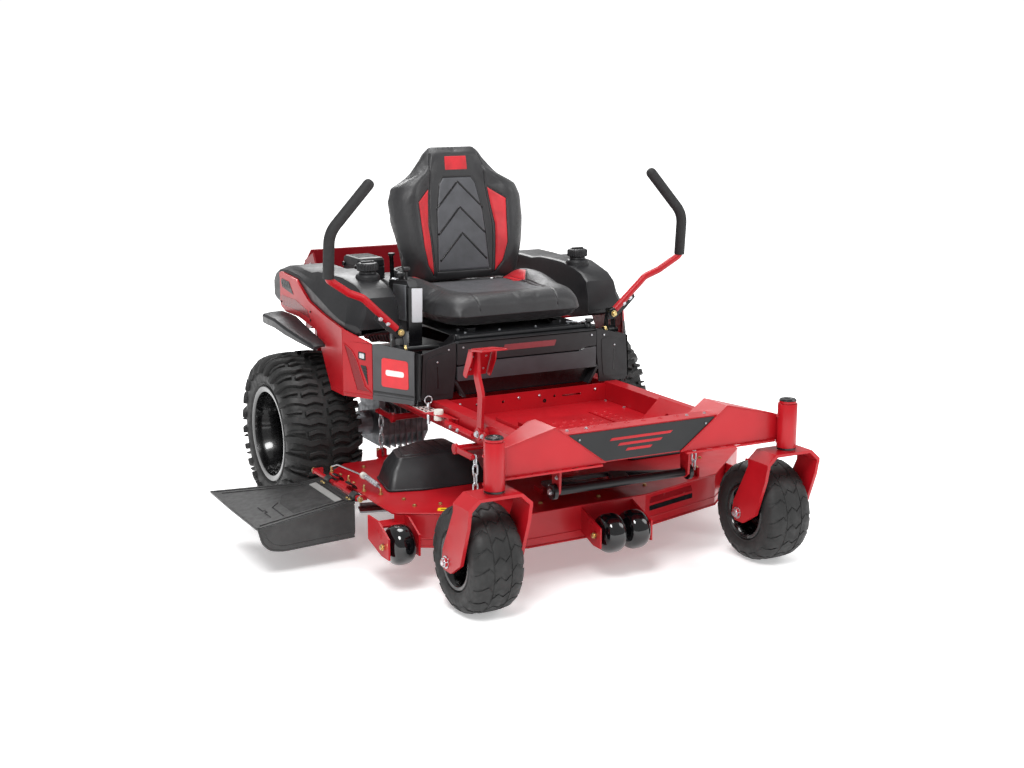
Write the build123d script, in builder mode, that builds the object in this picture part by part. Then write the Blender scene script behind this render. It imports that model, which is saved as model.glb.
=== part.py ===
from build123d import *
from math import cos, radians, sin
import os

# Zero turn mower, in millimetres, built in the machine's own axes: -Y is forward,
# +X is the operator's left, +Z is up, X = 0 is the middle of the wheel track and
# Z = 0 is the ground.  hand_in() moves every finished piece so that the origin
# is the middle of the whole machine's footprint.

# ---- driving dimensions -------------------------------------------------
KINGPIN_X = 520
KINGPIN_Y = -1020
CASTER_TRAIL = 106
CASTER_R = 165
CASTER_WIDTH = 164
STEM_R = 15.875
HEAD_TUBE_R = 31
HEAD_TUBE_Z = (396, 536)

DRIVE_AXLE_Y = 341
DRIVE_R = 286
DRIVE_TRACK_X = 593
DRIVE_WIDTH = 264
DRIVE_RIM_R = 152

RAIL_INNER_X = 306
RAIL_OUTER_X = 356
RAIL_Z = (414, 490)
RAIL_Y = (-868, 770)

PIVOT_FIT = 0.05
GAP = 0.4

DECK_RIGHT_X = -650
DECK_LEFT_X = 762
DECK_BOTTOM_Z = 122
DECK_TOP_Z = 232
DECK_SHEET = 5
SPINDLE_MID_X = 55
SPINDLE_STEP_X = 450
SPINDLE_SIDE_Y = -300
SPINDLE_MID_Y = -410
BLADE_LENGTH = 454
BLADE_Z = 140
ROLLER_R = 62
ROLLER_Z = 157

DEFLECTOR_TIP_X = -1006
DEFLECTOR_HINGE = (-668, 222)

CRANK_Y = 500
SEAT_HINGE = (-236, 684)
SEAT_TOP_Z = 1284
GUARD_REAR_Y = 850

ARM_PIVOT = (-128, 640)
LEVER_PIVOT = (416, 704)
PEDAL_PIVOT = (-655, 462)
LIFT_SHAFT_Z = 398
FRONT_SHAFT_Y = -560
REAR_SHAFT_Y = -75
LIFT_ARM = 120
LINK_PIVOT = (-878, 316)

CASTER_AXLE_Y = KINGPIN_Y + CASTER_TRAIL
ROW_ORIGIN = Vector(
    (DEFLECTOR_TIP_X + DECK_LEFT_X) / 2,
    (CASTER_AXLE_Y - CASTER_R + GUARD_REAR_Y) / 2,
    0,
)
SIDES = {"right": -1, "left": 1}

os.makedirs("parts", exist_ok=True)


# ---- helpers ------------------------------------------------------------
def hand_in(block, node_name):
    """Label a finished block and write it in the row's frame."""
    piece = block.part.moved(Location(-ROW_ORIGIN))
    piece.label = node_name
    export_step(piece, f"parts/{node_name}.step")


def span(side, inner, outer):
    """Low and high X of a stretch given by its distances from the middle plane."""
    return sorted((side * inner, side * outer))


def slab_x(outline, low, high, mode=Mode.ADD):
    """Prism along X over an outline of (y, z) points."""
    with BuildSketch(Plane.YZ.offset(low)) as profile:
        with BuildLine():
            Polyline(*outline, close=True)
        make_face()
    extrude(profile.sketch, amount=high - low, mode=mode)


def slab_y(outline, low, high, mode=Mode.ADD):
    """Prism along Y over an outline of (x, z) points."""
    with BuildSketch(Plane.XZ.offset(-high)) as profile:
        with BuildLine():
            Polyline(*outline, close=True)
        make_face()
    extrude(profile.sketch, amount=high - low, mode=mode)


def slab_z(outline, low, high, mode=Mode.ADD):
    """Prism along Z over an outline of (x, y) points."""
    with BuildSketch(Plane.XY.offset(low)) as profile:
        with BuildLine():
            Polyline(*outline, close=True)
        make_face()
    extrude(profile.sketch, amount=high - low, mode=mode)


def block(x, y, z, mode=Mode.ADD):
    """Box from three (low, high) pairs."""
    middle = [(low + high) / 2 for low, high in (x, y, z)]
    with Locations(tuple(middle)):
        Box(x[1] - x[0], y[1] - y[0], z[1] - z[0], mode=mode)


def rod_x(radius, x, y, z, mode=Mode.ADD):
    """Cylinder along X between the two ends of x."""
    with Locations(((x[0] + x[1]) / 2, y, z)):
        Cylinder(radius, x[1] - x[0], rotation=(0, 90, 0), mode=mode)


def rod_y(radius, x, y, z, mode=Mode.ADD):
    """Cylinder along Y between the two ends of y."""
    with Locations((x, (y[0] + y[1]) / 2, z)):
        Cylinder(radius, y[1] - y[0], rotation=(90, 0, 0), mode=mode)


def rod_z(radius, x, y, z, mode=Mode.ADD):
    """Cylinder along Z between the two ends of z."""
    with Locations((x, y, (z[0] + z[1]) / 2)):
        Cylinder(radius, z[1] - z[0], mode=mode)


def bent_tube(points, radius, bend):
    """Round bar swept along straight runs joined by arcs."""
    with BuildLine() as route:
        FilletPolyline(*points, radius=bend)
    with BuildSketch(Plane(route.line @ 0, z_dir=route.line % 0)) as section:
        Circle(radius)
    sweep(section.sketch, path=route.line)


def turned_x(outline, x, y, z):
    """Solid of revolution about an X axis through (y, z): (offset, radius) points."""
    axis = Axis((x, y, z), (1, 0, 0))
    with BuildSketch(Plane((x, y, z), x_dir=(1, 0, 0), z_dir=(0, -1, 0))) as profile:
        with BuildLine():
            Polyline(*outline, close=True)
        make_face()
    revolve(profile.sketch, axis=axis)


def mirror_profile(half_outline):
    """Whole (offset, radius) outline from the half on the +offset side."""
    return half_outline + [(-offset, radius) for offset, radius in reversed(half_outline)]


# ---- frame --------------------------------------------------------------
NOSE_TOP_Z = 521
NOSE_FRONT_Y = -990
ARM_CREST = ((306, 543), (320, 567))
ARM_REAR_Y = -869


def front_axle_frame():
    """Nose, two box arms and the caster head tubes, welded into one piece."""
    with BuildPart() as axle:
        nose = [(-300, NOSE_TOP_Z), (300, NOSE_TOP_Z), (140, 420), (-140, 420)]
        slab_y(nose, NOSE_FRONT_Y, NOSE_FRONT_Y + 6)
        block((-298, 298), (NOSE_FRONT_Y, NOSE_FRONT_Y + 60), (NOSE_TOP_Z - 6, NOSE_TOP_Z))
        block((-150, 150), (NOSE_FRONT_Y, ARM_REAR_Y), (420, 426))
        for side in (-1, 1):
            outer = [(side * x, z) for x, z in ((135, 420), (306, 546), (520, 492), (520, 414))]
            inner = [(side * x, z) for x, z in ((158, 414), (306, 536), (484, 491), (484, 400))]
            slab_y(outer, -996, ARM_REAR_Y)
            slab_y(inner, -990, ARM_REAR_Y + 1, mode=Mode.SUBTRACT)
            x_ends = [side * x for x in (330, 560, 560)]
            slab_z(list(zip(x_ends, (-868, -985, -868))), 380, 580, mode=Mode.SUBTRACT)
        for side in (-1, 1):
            hanger = [
                (-905, 440), (-869, 440), (-869, 412), (-852, 412), (-858, 326), (-878, 298), (-899, 314)]
            low, high = span(side, 230, 238)
            slab_x(hanger, low, high)
            rod_x(8, (low - 1, high + 1), *LINK_PIVOT, mode=Mode.SUBTRACT)
            block(span(side, 224, 244), (-905, -869), (432, 482))
        for side in (-1, 1):
            rod_z(HEAD_TUBE_R, side * KINGPIN_X, KINGPIN_Y, HEAD_TUBE_Z)
        for side in (-1, 1):
            rod_z(STEM_R + PIVOT_FIT, side * KINGPIN_X, KINGPIN_Y, HEAD_TUBE_Z, mode=Mode.SUBTRACT)
    hand_in(axle, "front_axle_frame")

    with BuildPart() as plate:
        face = [(-262, 517), (262, 517), (136, 424), (-136, 424)]
        slab_y(face, NOSE_FRONT_Y - 4, NOSE_FRONT_Y)
        for side in (-1, 1):
            rod_y(6, side * 225, (NOSE_FRONT_Y - 8, NOSE_FRONT_Y - 3), 500)
    hand_in(plate, "nose_plate")


def frame_rails():
    """One rectangular tube each side, open at both ends."""
    for name, side in SIDES.items():
        low, high = span(side, RAIL_INNER_X, RAIL_OUTER_X)
        with BuildPart() as rail:
            block((low, high), RAIL_Y, RAIL_Z)
            block((low + 4, high - 4), RAIL_Y, (RAIL_Z[0] + 4, RAIL_Z[1] - 4), mode=Mode.SUBTRACT)
            for y in (-700, -520, -120, 60):
                block((low, high), (y - 4, y + 4), (RAIL_Z[0] + 2, RAIL_Z[1] - 2))
        hand_in(rail, f"{name}_frame_rail")


def rear_frame():
    """Engine plate, rear cross member, hitch plate and the lift shaft hangers."""
    with BuildPart() as rear:
        block((-305.5, 305.5), (250, 717), (484, 490))
        block((-305.5, 305.5), (718, 768), RAIL_Z)
        block((-297, 297), (722, 764), (RAIL_Z[0] + 4, RAIL_Z[1] - 4), mode=Mode.SUBTRACT)
        block((-75, 75), (768, 824), (414, 422))
        rod_z(9.5, 0, 796, (413, 423), mode=Mode.SUBTRACT)
        rod_z(45, 0, CRANK_Y, (483, 491), mode=Mode.SUBTRACT)
        for x in (-60, 60):
            for z in (434, 472):
                rod_y(5.5, x, (763, 769), z, mode=Mode.SUBTRACT)
        block((-305.5, 305.5), (-190, -140), (452, 490))
        block((-297, 297), (-186, -144), (456, 486), mode=Mode.SUBTRACT)
        for side in (-1, 1):
            block(span(side, 274, 282), (90, 128), (484, 655))
            block(span(side, 274, 520), (90, 128), (656, 663))
            block(span(side, 274, 305.5), (90, 249), (484, 490))
    hand_in(rear, "rear_frame")


def foot_pan():
    """Folded floor with a back wall and a sloping foot rest each side."""
    floor_z = (420, 425)
    with BuildPart() as pan:
        block((-305.5, 305.5), (-868.5, -279), floor_z)
        block((-305.5, 305.5), (-284, -279), (420, 486))
        for side in (-1, 1):
            wedge = [(side * x, z) for x, z in ((305.5, 425), (305.5, 500), (228, 425))]
            slab_y(wedge, -860, -620)
            for y in (-820, -770, -720):
                with Locations(Location((side * 268, y, 462), (0, -side * 44, 0))):
                    Cylinder(7, 40, mode=Mode.SUBTRACT)
        raised = [(-150, -760), (90, -760), (120, -640), (120, -480), (-150, -480)]
        slab_z(raised, 425, 437)
        for x in (-200, -100, 100):
            rod_y(5, x, (-285, -278), 460, mode=Mode.SUBTRACT)
        block((130, 205), (-285, -278), (455, 461), mode=Mode.SUBTRACT)
    hand_in(pan, "foot_pan")


# ---- casters ------------------------------------------------------------
def casters():
    for name, side in SIDES.items():
        x0 = side * KINGPIN_X
        with BuildPart() as fork:
            slab_y(
                [(x0 + x, z) for x, z in (
                    (-103, 340), (-103, 356), (-70, 385), (70, 385), (103, 356), (103, 340),
                    (92, 340), (92, 350), (64, 376), (-64, 376), (-92, 350), (-92, 340))],
                -1062, -962,
            )
            arm = [
                (-962, 356), (-1062, 350), (-1052, 300), (-1006, 178),
                (-944, 138), (-900, 138), (-886, 165), (-892, 200), (-962, 330),
            ]
            for low in (x0 - 103, x0 + 92):
                slab_x(arm, low, low + 11)
            rod_z(STEM_R, x0, KINGPIN_Y, (376, HEAD_TUBE_Z[1] + 6))
            rod_z(28, x0, KINGPIN_Y, (384, HEAD_TUBE_Z[0] - GAP))
            rod_z(27, x0, KINGPIN_Y, (HEAD_TUBE_Z[1] + GAP, HEAD_TUBE_Z[1] + 9))
            rod_x(9.9, (x0 - 118, x0 + 118), CASTER_AXLE_Y, CASTER_R)
            for end in (x0 - 112, x0 + 103):
                rod_x(15, (end, end + 9), CASTER_AXLE_Y, CASTER_R)
        hand_in(fork, f"{name}_caster_fork")

        half = CASTER_WIDTH / 2
        with BuildPart() as tyre:
            turned_x(
                mirror_profile([
                    (half - 14, 78), (half - 14, 92), (half - 2, 98), (half, 120), (half - 6, 142),
                    (half - 26, 158), (half - 55, CASTER_R)]),
                x0, CASTER_AXLE_Y, CASTER_R,
            )
        hand_in(tyre, f"{name}_caster_tyre")

        with BuildPart() as rim:
            turned_x(
                [(-half + 9, 70), (-half + 9, 90), (-half + 13.6, 90), (-half + 13.6, 77.9),
                 (half - 13.6, 77.9), (half - 13.6, 90), (half - 9, 90), (half - 9, 70),
                 (8, 62), (8, 30), (88, 26), (88, 9.95), (-88, 9.95), (-88, 26),
                 (-8, 30), (-8, 62)],
                x0, CASTER_AXLE_Y, CASTER_R,
            )
        hand_in(rim, f"{name}_caster_rim")


# ---- drive wheels and transaxles ---------------------------------------
def drive_wheels():
    half = DRIVE_WIDTH / 2
    for name, side in SIDES.items():
        x0 = side * DRIVE_TRACK_X
        with BuildPart() as tyre:
            turned_x(
                mirror_profile([
                    (half - 14, 152.2), (half - 14, 174), (half - 3, 182), (half, 208), (half - 6, 244),
                    (half - 26, 272), (half - 60, 282), (half - 100, DRIVE_R)]),
                x0, DRIVE_AXLE_Y, DRIVE_R,
            )
        hand_in(tyre, f"{name}_drive_tyre")

        with BuildPart() as rim:
            dish = [
                (half - 9, 146), (half - 9, 170), (half - 13.6, 170), (half - 13.6, DRIVE_RIM_R),
                (-half + 13.6, DRIVE_RIM_R), (-half + 13.6, 170), (-half + 9, 170), (-half + 9, 146),
                (-half + 60, 136), (-half + 66, 96), (-half + 50, 74), (-half + 50, 22),
                (-half + 62, 22), (-half + 62, 68), (-half + 78, 92), (-half + 74, 138),
            ]
            turned_x([(side * dx, r) for dx, r in dish], x0, DRIVE_AXLE_Y, DRIVE_R)
            hub = x0 - side * (half - 50)
            with Locations(Location((hub, DRIVE_AXLE_Y, DRIVE_R), (0, 90, 0))):
                with PolarLocations(50, 5):
                    Cylinder(9, 50)
        hand_in(rim, f"{name}_drive_rim")


def transaxles():
    """Hydraulic pump-and-gear housings with their axle shafts."""
    with BuildPart() as drives:
        for side in (-1, 1):
            low, high = span(side, 150, 330)
            body = [
                (210, 262), (250, 214), (420, 214), (450, 262), (446, 330), (400, 356), (262, 356),
                (214, 320),
            ]
            slab_x(body, low, high)
            rod_x(44, span(side, 328, 430), DRIVE_AXLE_Y, DRIVE_R)
            rod_x(21.9, span(side, 420, 500), DRIVE_AXLE_Y, DRIVE_R)
            rod_z(46, side * 240, 300, (350, 384))
            block(span(side, 306, 330), (240, 420), (350, 413.7))
    hand_in(drives, "transaxles")


# ---- engine -------------------------------------------------------------
def engine():
    with BuildPart() as crankcase:
        rod_z(150, 0, CRANK_Y, (490.2, 640))
        rod_z(17, 0, CRANK_Y, (380, 492))
        for side in (-1, 1):
            with Locations(Location((side * 150, CRANK_Y + 60, 593), (0, side * 45, 0))):
                Cylinder(62, 150)
        with Locations((0, 742, 560)):
            Cylinder(58, 300, rotation=(0, 90, 0))
        rod_x(18, (-210, -140), 742, 560)
        block((-30, 30), (600, 700), (520, 600))
    hand_in(crankcase, "engine_block")

    with BuildPart() as shroud:
        slab_z([(-235, 380), (-160, 340), (160, 340), (235, 380), (235, 640), (150, 690), (-150, 690),
                (-235, 640)], 700, 790)
        rod_z(150, 0, CRANK_Y, (785, 812))
        slab_z([(-140, 400), (140, 400), (140, 488), (-140, 488)], 640.2, 701)
    hand_in(shroud, "engine_shroud")

    with BuildPart() as cleaner:
        block((-300, -190), (480, 640), (792, 872))
        fillet(cleaner.edges().filter_by(Axis.Z), 18)
        rod_z(11, -170, 470, (790.2, 890))
        block((-186, -154), (455, 485), (880, 900))
    hand_in(cleaner, "air_cleaner")


def engine_guard():
    """Folded plate around the back of the engine."""
    with BuildPart() as guard:
        rear = [(-372, 560), (372, 560), (382, 800), (346, 868), (-346, 868), (-382, 800)]
        slab_y(rear, GUARD_REAR_Y - 8, GUARD_REAR_Y)
        window = [(-240, 590), (240, 590), (240, 760), (-240, 760)]
        slab_y(window, GUARD_REAR_Y - 9, GUARD_REAR_Y + 1, mode=Mode.SUBTRACT)
        for x in (-160, -80, 0, 80, 160):
            block((x - 6, x + 6), (GUARD_REAR_Y - 8, GUARD_REAR_Y), (588, 762))
        for side in (-1, 1):
            cheek = [(GUARD_REAR_Y - 4, 560), (GUARD_REAR_Y - 4, 830), (760, 868), (716, 800), (716, 600)]
            slab_x(cheek, *span(side, 366, 373))
            leg = [(side * x, z) for x, z in (
                (365, 600), (373, 600), (373, 440), (356.5, 440), (356.5, 500), (365, 540))]
            slab_y(leg, 735, 760)
    hand_in(guard, "engine_guard")


# ---- body panels --------------------------------------------------------
def console_front():
    """Moulded tower face under the seat, with a recess above the floor."""
    with BuildPart() as tower:
        face = [(-388, 490.3), (-404, 504), (-398, 648), (-262, 678), (262, 678), (398, 648), (404, 504),
                (388, 490.3)]
        slab_y(face, -276, -196)
        hollow = [(-382, 480), (-396, 505), (-391, 640), (-258, 672), (258, 672), (391, 640), (396, 505),
                  (382, 480)]
        slab_y(hollow, -270, -195, mode=Mode.SUBTRACT)
        recess = [(-232, 480), (232, 480), (268, 540), (-268, 540)]
        slab_y(recess, -277, -268, mode=Mode.SUBTRACT)
        slab_y([(-240, 490.3), (240, 490.3), (274, 546), (-274, 546)], -246, -241)
        block((-276, 276), (-262, -190), (600, 690), mode=Mode.SUBTRACT)
    hand_in(tower, "console_front")


def seat_support():
    """Steel box that carries the seat hinge, the battery tray and the lever pivots."""
    with BuildPart() as box:
        for side in (-1, 1):
            wall = [(-180, 490.2), (250, 490.2), (250, 640), (-180, 660)]
            slab_x(wall, *span(side, 262, 267))
            rod_x(9.95, span(side, 262, 446), *ARM_PIVOT)
            ear = [(-250, 640), (-180, 560), (-170, 660), (-226, 698), (-248, 696)]
            slab_x(ear, *span(side, 262, 267))
        block((-262, 262), (246, 250), (490.2, 640))
        block((-262, 262), (-180, -176), (490.2, 660))
        rod_x(7.95, (-267, 267), *SEAT_HINGE)
        block((-120, 120), (-120, 40), (500, 660))
        block((-120, 120), (-120, 40), (490.2, 502))
    hand_in(box, "seat_support")


SIDE_PANEL = [
    (8, 474), (247, 668), (420, 690), (612, 690), (612, 828), (424, 816), (318, 756), (44, 706), (8, 700),
]
COWL_PLAN = [(400, -256), (498, -100), (560, 8)]


def side_panels():
    """Painted steel side plates with a folded front wing, a lamp slot and a vent."""
    for name, side in SIDES.items():
        low, high = span(side, 555, 560)
        with BuildPart() as panel:
            slab_x(SIDE_PANEL, low, high)
            slab_x([(500, 706), (600, 722), (600, 762), (540, 760)], low - 1, high + 1, mode=Mode.SUBTRACT)
            wing = [(side * x, y) for x, y in ((498, -98), (560, 8), (555, 10), (493, -95))]
            slab_z(wing, 474, 700)
            top = [(-100, 662), (10, 701), (10, 720), (-100, 720)]
            slab_x(top, *span(side, 480, 561), mode=Mode.SUBTRACT)
        hand_in(panel, f"{name}_side_panel")

        with BuildPart() as cowl:
            skin = [(side * x, y) for x, y in ((411, -245), (497, -101), (492, -98), (406.5, -242))]
            slab_z(skin, 474, 668)
            trim = [(-256, 650), (-98, 662), (-98, 700), (-256, 700)]
            slab_x(trim, *span(side, 390, 500), mode=Mode.SUBTRACT)
            shelf = [(side * x, y) for x, y in ((406.5, -240), (492, -100), (440, -100), (406.5, -190))]
            slab_z(shelf, 492, 497)
        hand_in(cowl, f"{name}_front_cowl")


POD_OUTLINE = [
    (-52, 694), (-40, 790), (40, 838), (140, 862), (330, 862), (360, 850), (560, 856), (668, 838),
    (700, 800), (690, 716), (560, 700), (430, 702), (250, 680), (60, 664),
]


def tank_pods():
    """Moulded fuel tanks that also close the tops of the wheel arches."""
    for name, side in SIDES.items():
        low, high = span(side, 372, 553)
        with BuildPart() as pod:
            slab_x(POD_OUTLINE, low, high)
            slope = [(side * x, z) for x, z in ((480, 900), (560, 810), (600, 900))]
            slab_y(slope, -60, 720, mode=Mode.SUBTRACT)
            corner = [(side * x, y) for x, y in ((489, -94), (553.5, 16), (600, 16), (600, -94))]
            slab_z(corner, 600, 708, mode=Mode.SUBTRACT)
            rod_z(40, side * 420, 110, (845, 872))
            rod_z(28, side * 420, 110, (868, 880))
        hand_in(pod, f"{name}_fuel_tank")

        with BuildPart() as cap:
            rod_z(36, side * 420, 110, (880 + GAP, 908))
            with Locations((side * 420, 110, 894)):
                with PolarLocations(36, 18):
                    Box(5, 5, 27)
            rod_z(14, side * 420, 110, (906, 914))
        hand_in(cap, f"{name}_fuel_cap")

    with BuildPart() as skirts:
        for side in (-1, 1):
            low, high = span(side, 561, 650)
            lip = [
                (160, 622), (200, 634), (440, 684), (590, 684), (594, 650), (450, 650), (210, 612),
                (170, 606)]
            slab_x(lip, low, high)
            corner = [(side * x, y) for x, y in ((610, 150), (660, 150), (660, 420))]
            slab_z(corner, 590, 720, mode=Mode.SUBTRACT)
            rear = [(side * x, y) for x, y in ((655, 560), (655, 600), (622, 600))]
            slab_z(rear, 590, 720, mode=Mode.SUBTRACT)
    hand_in(skirts, "fender_skirts")


def control_console():
    """Right-hand instrument post with its plate, switch seats and key barrel."""
    with BuildPart() as console:
        post = [(-92, 600), (-92, 682), (-84, 842), (-60, 862), (86, 848), (86, 600)]
        slab_x(post, -352, -318)
        block((-356, -352), (-90, 46), (722, 846))
        block((-348, -322), (-42, -8), (836, 870), mode=Mode.SUBTRACT)
    hand_in(console, "control_console")

    with BuildPart() as throttle:
        rod_x(10, (-345, -325), -25, 850)
        block((-338, -332), (-29, -21), (852, 890))
        rod_x(9, (-346, -324), -25, 895)
    hand_in(throttle, "throttle_lever")

    with BuildPart() as pto:
        rod_z(9, -335, 20, (855.4, 867))
        rod_z(15, -335, 20, (866, 877))
    hand_in(pto, "pto_switch")

    with BuildPart() as key:
        rod_z(9, -335, 62, (851.4, 858))
        block((-337, -333), (51, 73), (857, 880))
    hand_in(key, "ignition_key")


def cut_height_plate():
    """Slotted cutting-height plate beside the rail, its stop pin and the guide tube."""
    with BuildPart() as plate:
        outline = [(-358, -120), (-420, -160), (-420, -330), (-358, -470)]
        slab_z(outline, 464, 468)
        block((-362, -358), (-460, -130), (432, 468))
        for row in range(3):
            for column in range(2):
                with Locations((-374 - 24 * column, -210 - 60 * row, 466)):
                    Box(12, 34, 10, mode=Mode.SUBTRACT)
        rod_z(6, -386, -300, (420, 492))
        rod_z(11, -386, -300, (468, 484))
        rod_z(16, -384, -372, (450, 482))
        rod_y(11, -378, (-600, -420), 446)
        block((-380, -358), (-440, -420), (440, 466))
    hand_in(plate, "cut_height_plate")


# ---- controls -----------------------------------------------------------
def drive_levers():
    pivot_x, pivot_z = LEVER_PIVOT
    pivot_y, shaft_z = ARM_PIVOT
    for name, side in SIDES.items():
        with BuildPart() as arm:
            low, high = span(side, 398, 434)
            rod_x(17, (low, high), pivot_y, shaft_z)
            rod_x(9.95 + PIVOT_FIT, (low - 1, high + 1), pivot_y, shaft_z, mode=Mode.SUBTRACT)
            post = [(pivot_y - 8, shaft_z + 14), (pivot_y + 4, shaft_z + 14), (pivot_y + 4, pivot_z + 18),
                    (pivot_y - 2, pivot_z + 18), (pivot_y - 8, pivot_z - 20)]
            slab_x(post, low + 2, high - 2)
            block((low + 2, high - 2), (pivot_y - 26, pivot_y - 2), (pivot_z - 2, pivot_z + 3))
            slab_x([(pivot_y - 27, pivot_z - 30), (pivot_y - 2, pivot_z - 30), (pivot_y - 2, pivot_z + 30),
                    (pivot_y - 27, pivot_z + 30)], low - 5, high + 5, mode=Mode.SUBTRACT)
            rod_y(7.9, side * pivot_x, (pivot_y - 30, pivot_y), pivot_z)
            rod_y(13, side * pivot_x, (pivot_y - 37, pivot_y - 29), pivot_z)
        hand_in(arm, f"{name}_control_arm")

        grip_low = (677, -178, 901)
        route = [
            (428, -143, 716), (548, -152, 829), (600, -160, 850), grip_low, (676, -191, 1051),
            (540, -195, 1200)]
        points = [(side * x, y, z) for x, y, z in route]
        with BuildPart() as lever:
            tab = (pivot_y - 22, pivot_y - 3)
            rod_y(19, side * pivot_x, tab, pivot_z)
            bent_tube(points[:4] + [(side * 677.5, -179, 915)], 12.5, 24)
            tip = points[3:]
            rod_y(7.9 + PIVOT_FIT, side * pivot_x, (tab[0] - 8, tab[1] + 4), pivot_z, mode=Mode.SUBTRACT)
            bent_tube([(side * 677.4, -179.2, 914)] + tip[1:], 19, 60)
        hand_in(lever, f"{name}_drive_lever")


def lift_linkage():
    """Pedal, the two cross shafts with their arms, and the front deck link."""
    y0, z0 = PEDAL_PIVOT
    with BuildPart() as pedal:
        rod_x(20, (-388, -358), y0, z0)
        arm = [
            (y0 - 16, z0 + 8), (y0 + 12, z0 + 12), (y0 + 4, z0 + 120), (y0 + 32, z0 + 176),
            (y0 + 30, z0 + 250), (y0 + 2, z0 + 252), (y0 + 2, z0 + 188), (y0 - 28, z0 + 130)]
        slab_x(arm, -384, -372)
        pad = [(y0 - 66, z0 + 276), (y0 + 24, z0 + 262), (y0 + 66, z0 + 176), (y0 + 60, z0 + 172),
               (y0 + 18, z0 + 254), (y0 - 66, z0 + 268)]
        slab_x(pad, -392, -318)
        rod_x(12, (-400, -356.6), y0, z0)
    hand_in(pedal, "lift_pedal")

    for name, y in (("front", FRONT_SHAFT_Y), ("rear", REAR_SHAFT_Y)):
        with BuildPart() as shaft:
            rod_x(11, (-424, 424), y, LIFT_SHAFT_Z)
            reach = -LIFT_ARM if name == "front" else LIFT_ARM
            for side in (-1, 1):
                ends = sorted((y, y + reach))
                block(span(side, 413, 420), (ends[0], ends[1]), (LIFT_SHAFT_Z - 9, LIFT_SHAFT_Z + 9))
                rod_x(17, span(side, 411, 422), y, LIFT_SHAFT_Z)
                rod_x(7, span(side, 412.4, 426), y + reach, LIFT_SHAFT_Z)
        hand_in(shaft, f"{name}_lift_shaft")

    py, pz = LINK_PIVOT
    with BuildPart() as link:
        rod_x(14, (-228, 228), py, pz)
        for x in (-220, 220):
            rod_x(7.9, sorted((x, x + (26 if x > 0 else -26))), py, pz)
        slope = [(py, pz + 6), (py, pz - 6), (-600, 254), (-600, 266)]
        slab_x(slope, -220, 220)
        windows = [
            [(-190, -850), (-50, -850), (-120, -710)], [(50, -850), (190, -850), (120, -710)],
            [(-90, -650), (90, -650), (0, -830)], [(-220, -820), (-130, -600), (-220, -600)],
            [(220, -820), (130, -600), (220, -600)],
        ]
        for window in windows:
            slab_z(window, 200, 360, mode=Mode.SUBTRACT)
    hand_in(link, "front_deck_link")


# ---- seat ---------------------------------------------------------------
def seat():
    y0, z0 = SEAT_HINGE
    with BuildPart() as pan:
        block((-250, 250), (y0 + 18, 262), (z0 + 2, z0 + 8))
        for side in (-1, 1):
            low, high = span(side, 243, 259)
            rod_x(14, (low, high), y0, z0)
            slab_x([(y0 - 6, z0 + 4), (y0 + 30, z0 + 4), (y0 + 30, z0 + 8), (y0 + 2, z0 + 13.5)], low, high)
        for side in (-1, 1):
            low, high = span(side, 243, 259)
            rod_x(7.95 + PIVOT_FIT, (low - 1, high + 1), y0, z0, mode=Mode.SUBTRACT)
        for side in (-1, 1):
            block(span(side, 150, 180), (y0 + 60, 220), (z0 + 8, z0 + 18))
    hand_in(pan, "seat_plate")

    with BuildPart() as cushion:
        side_view = [(-236, 722), (-244, 752), (-226, 786), (-150, 812), (60, 806), (190, 796), (286, 835),
                     (318, 830), (322, 760), (296, 722)]
        slab_x(side_view, -300, 300)
        block((-300, -150), (-160, 270), (780, 838))
        block((150, 300), (-160, 270), (780, 838))
        slab_z([(-300, -250), (-205, -250), (-300, -100)], 700, 860, mode=Mode.SUBTRACT)
        slab_z([(300, -250), (205, -250), (300, -100)], 700, 860, mode=Mode.SUBTRACT)
        slab_z([(-300, 330), (-235, 330), (-300, 230)], 700, 860, mode=Mode.SUBTRACT)
        slab_z([(300, 330), (235, 330), (300, 230)], 700, 860, mode=Mode.SUBTRACT)
        block((-185, 185), (-170, 240), (702.4, 724))
    hand_in(cushion, "seat_cushion")

    lean = 9.3
    base = Plane(origin=(0, 214, 850), x_dir=(1, 0, 0), z_dir=(0, -cos(radians(lean)), sin(radians(lean))))
    with BuildPart() as back:
        with BuildSketch(base) as outline:
            with BuildLine():
                Polyline(
                    (-196, 0), (-232, 60), (-262, 180), (-268, 260), (-250, 316), (-170, 364), (-120, 414),
                    (-76, 440), (76, 440), (120, 414), (170, 364), (250, 316), (268, 260), (262, 180),
                    (232, 60), (196, 0), close=True)
            make_face()
        extrude(outline.sketch, amount=-112)
    top = back.part.bounding_box().max.Z
    print("seat back top", round(top, 1))
    hand_in(back, "seat_back")


# ---- cutting deck -------------------------------------------------------
DECK_OUTLINE = [
    (-650, -70), (-560, 20), (-440, 20), (-400, 60), (400, 60), (450, 20), (660, 20), (762, -80),
    (762, -446), (490, -690), (147, -788), (-290, -800), (-640, -600), (-650, -590),
]
DECK_INSIDE = [
    (-680, -75), (-562, 15), (-442, 15), (-402, 55), (398, 55), (448, 15), (658, 15), (757, -84),
    (757, -444), (488, -685), (147, -783), (-288, -795), (-638, -595), (-680, -595),
]


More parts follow.
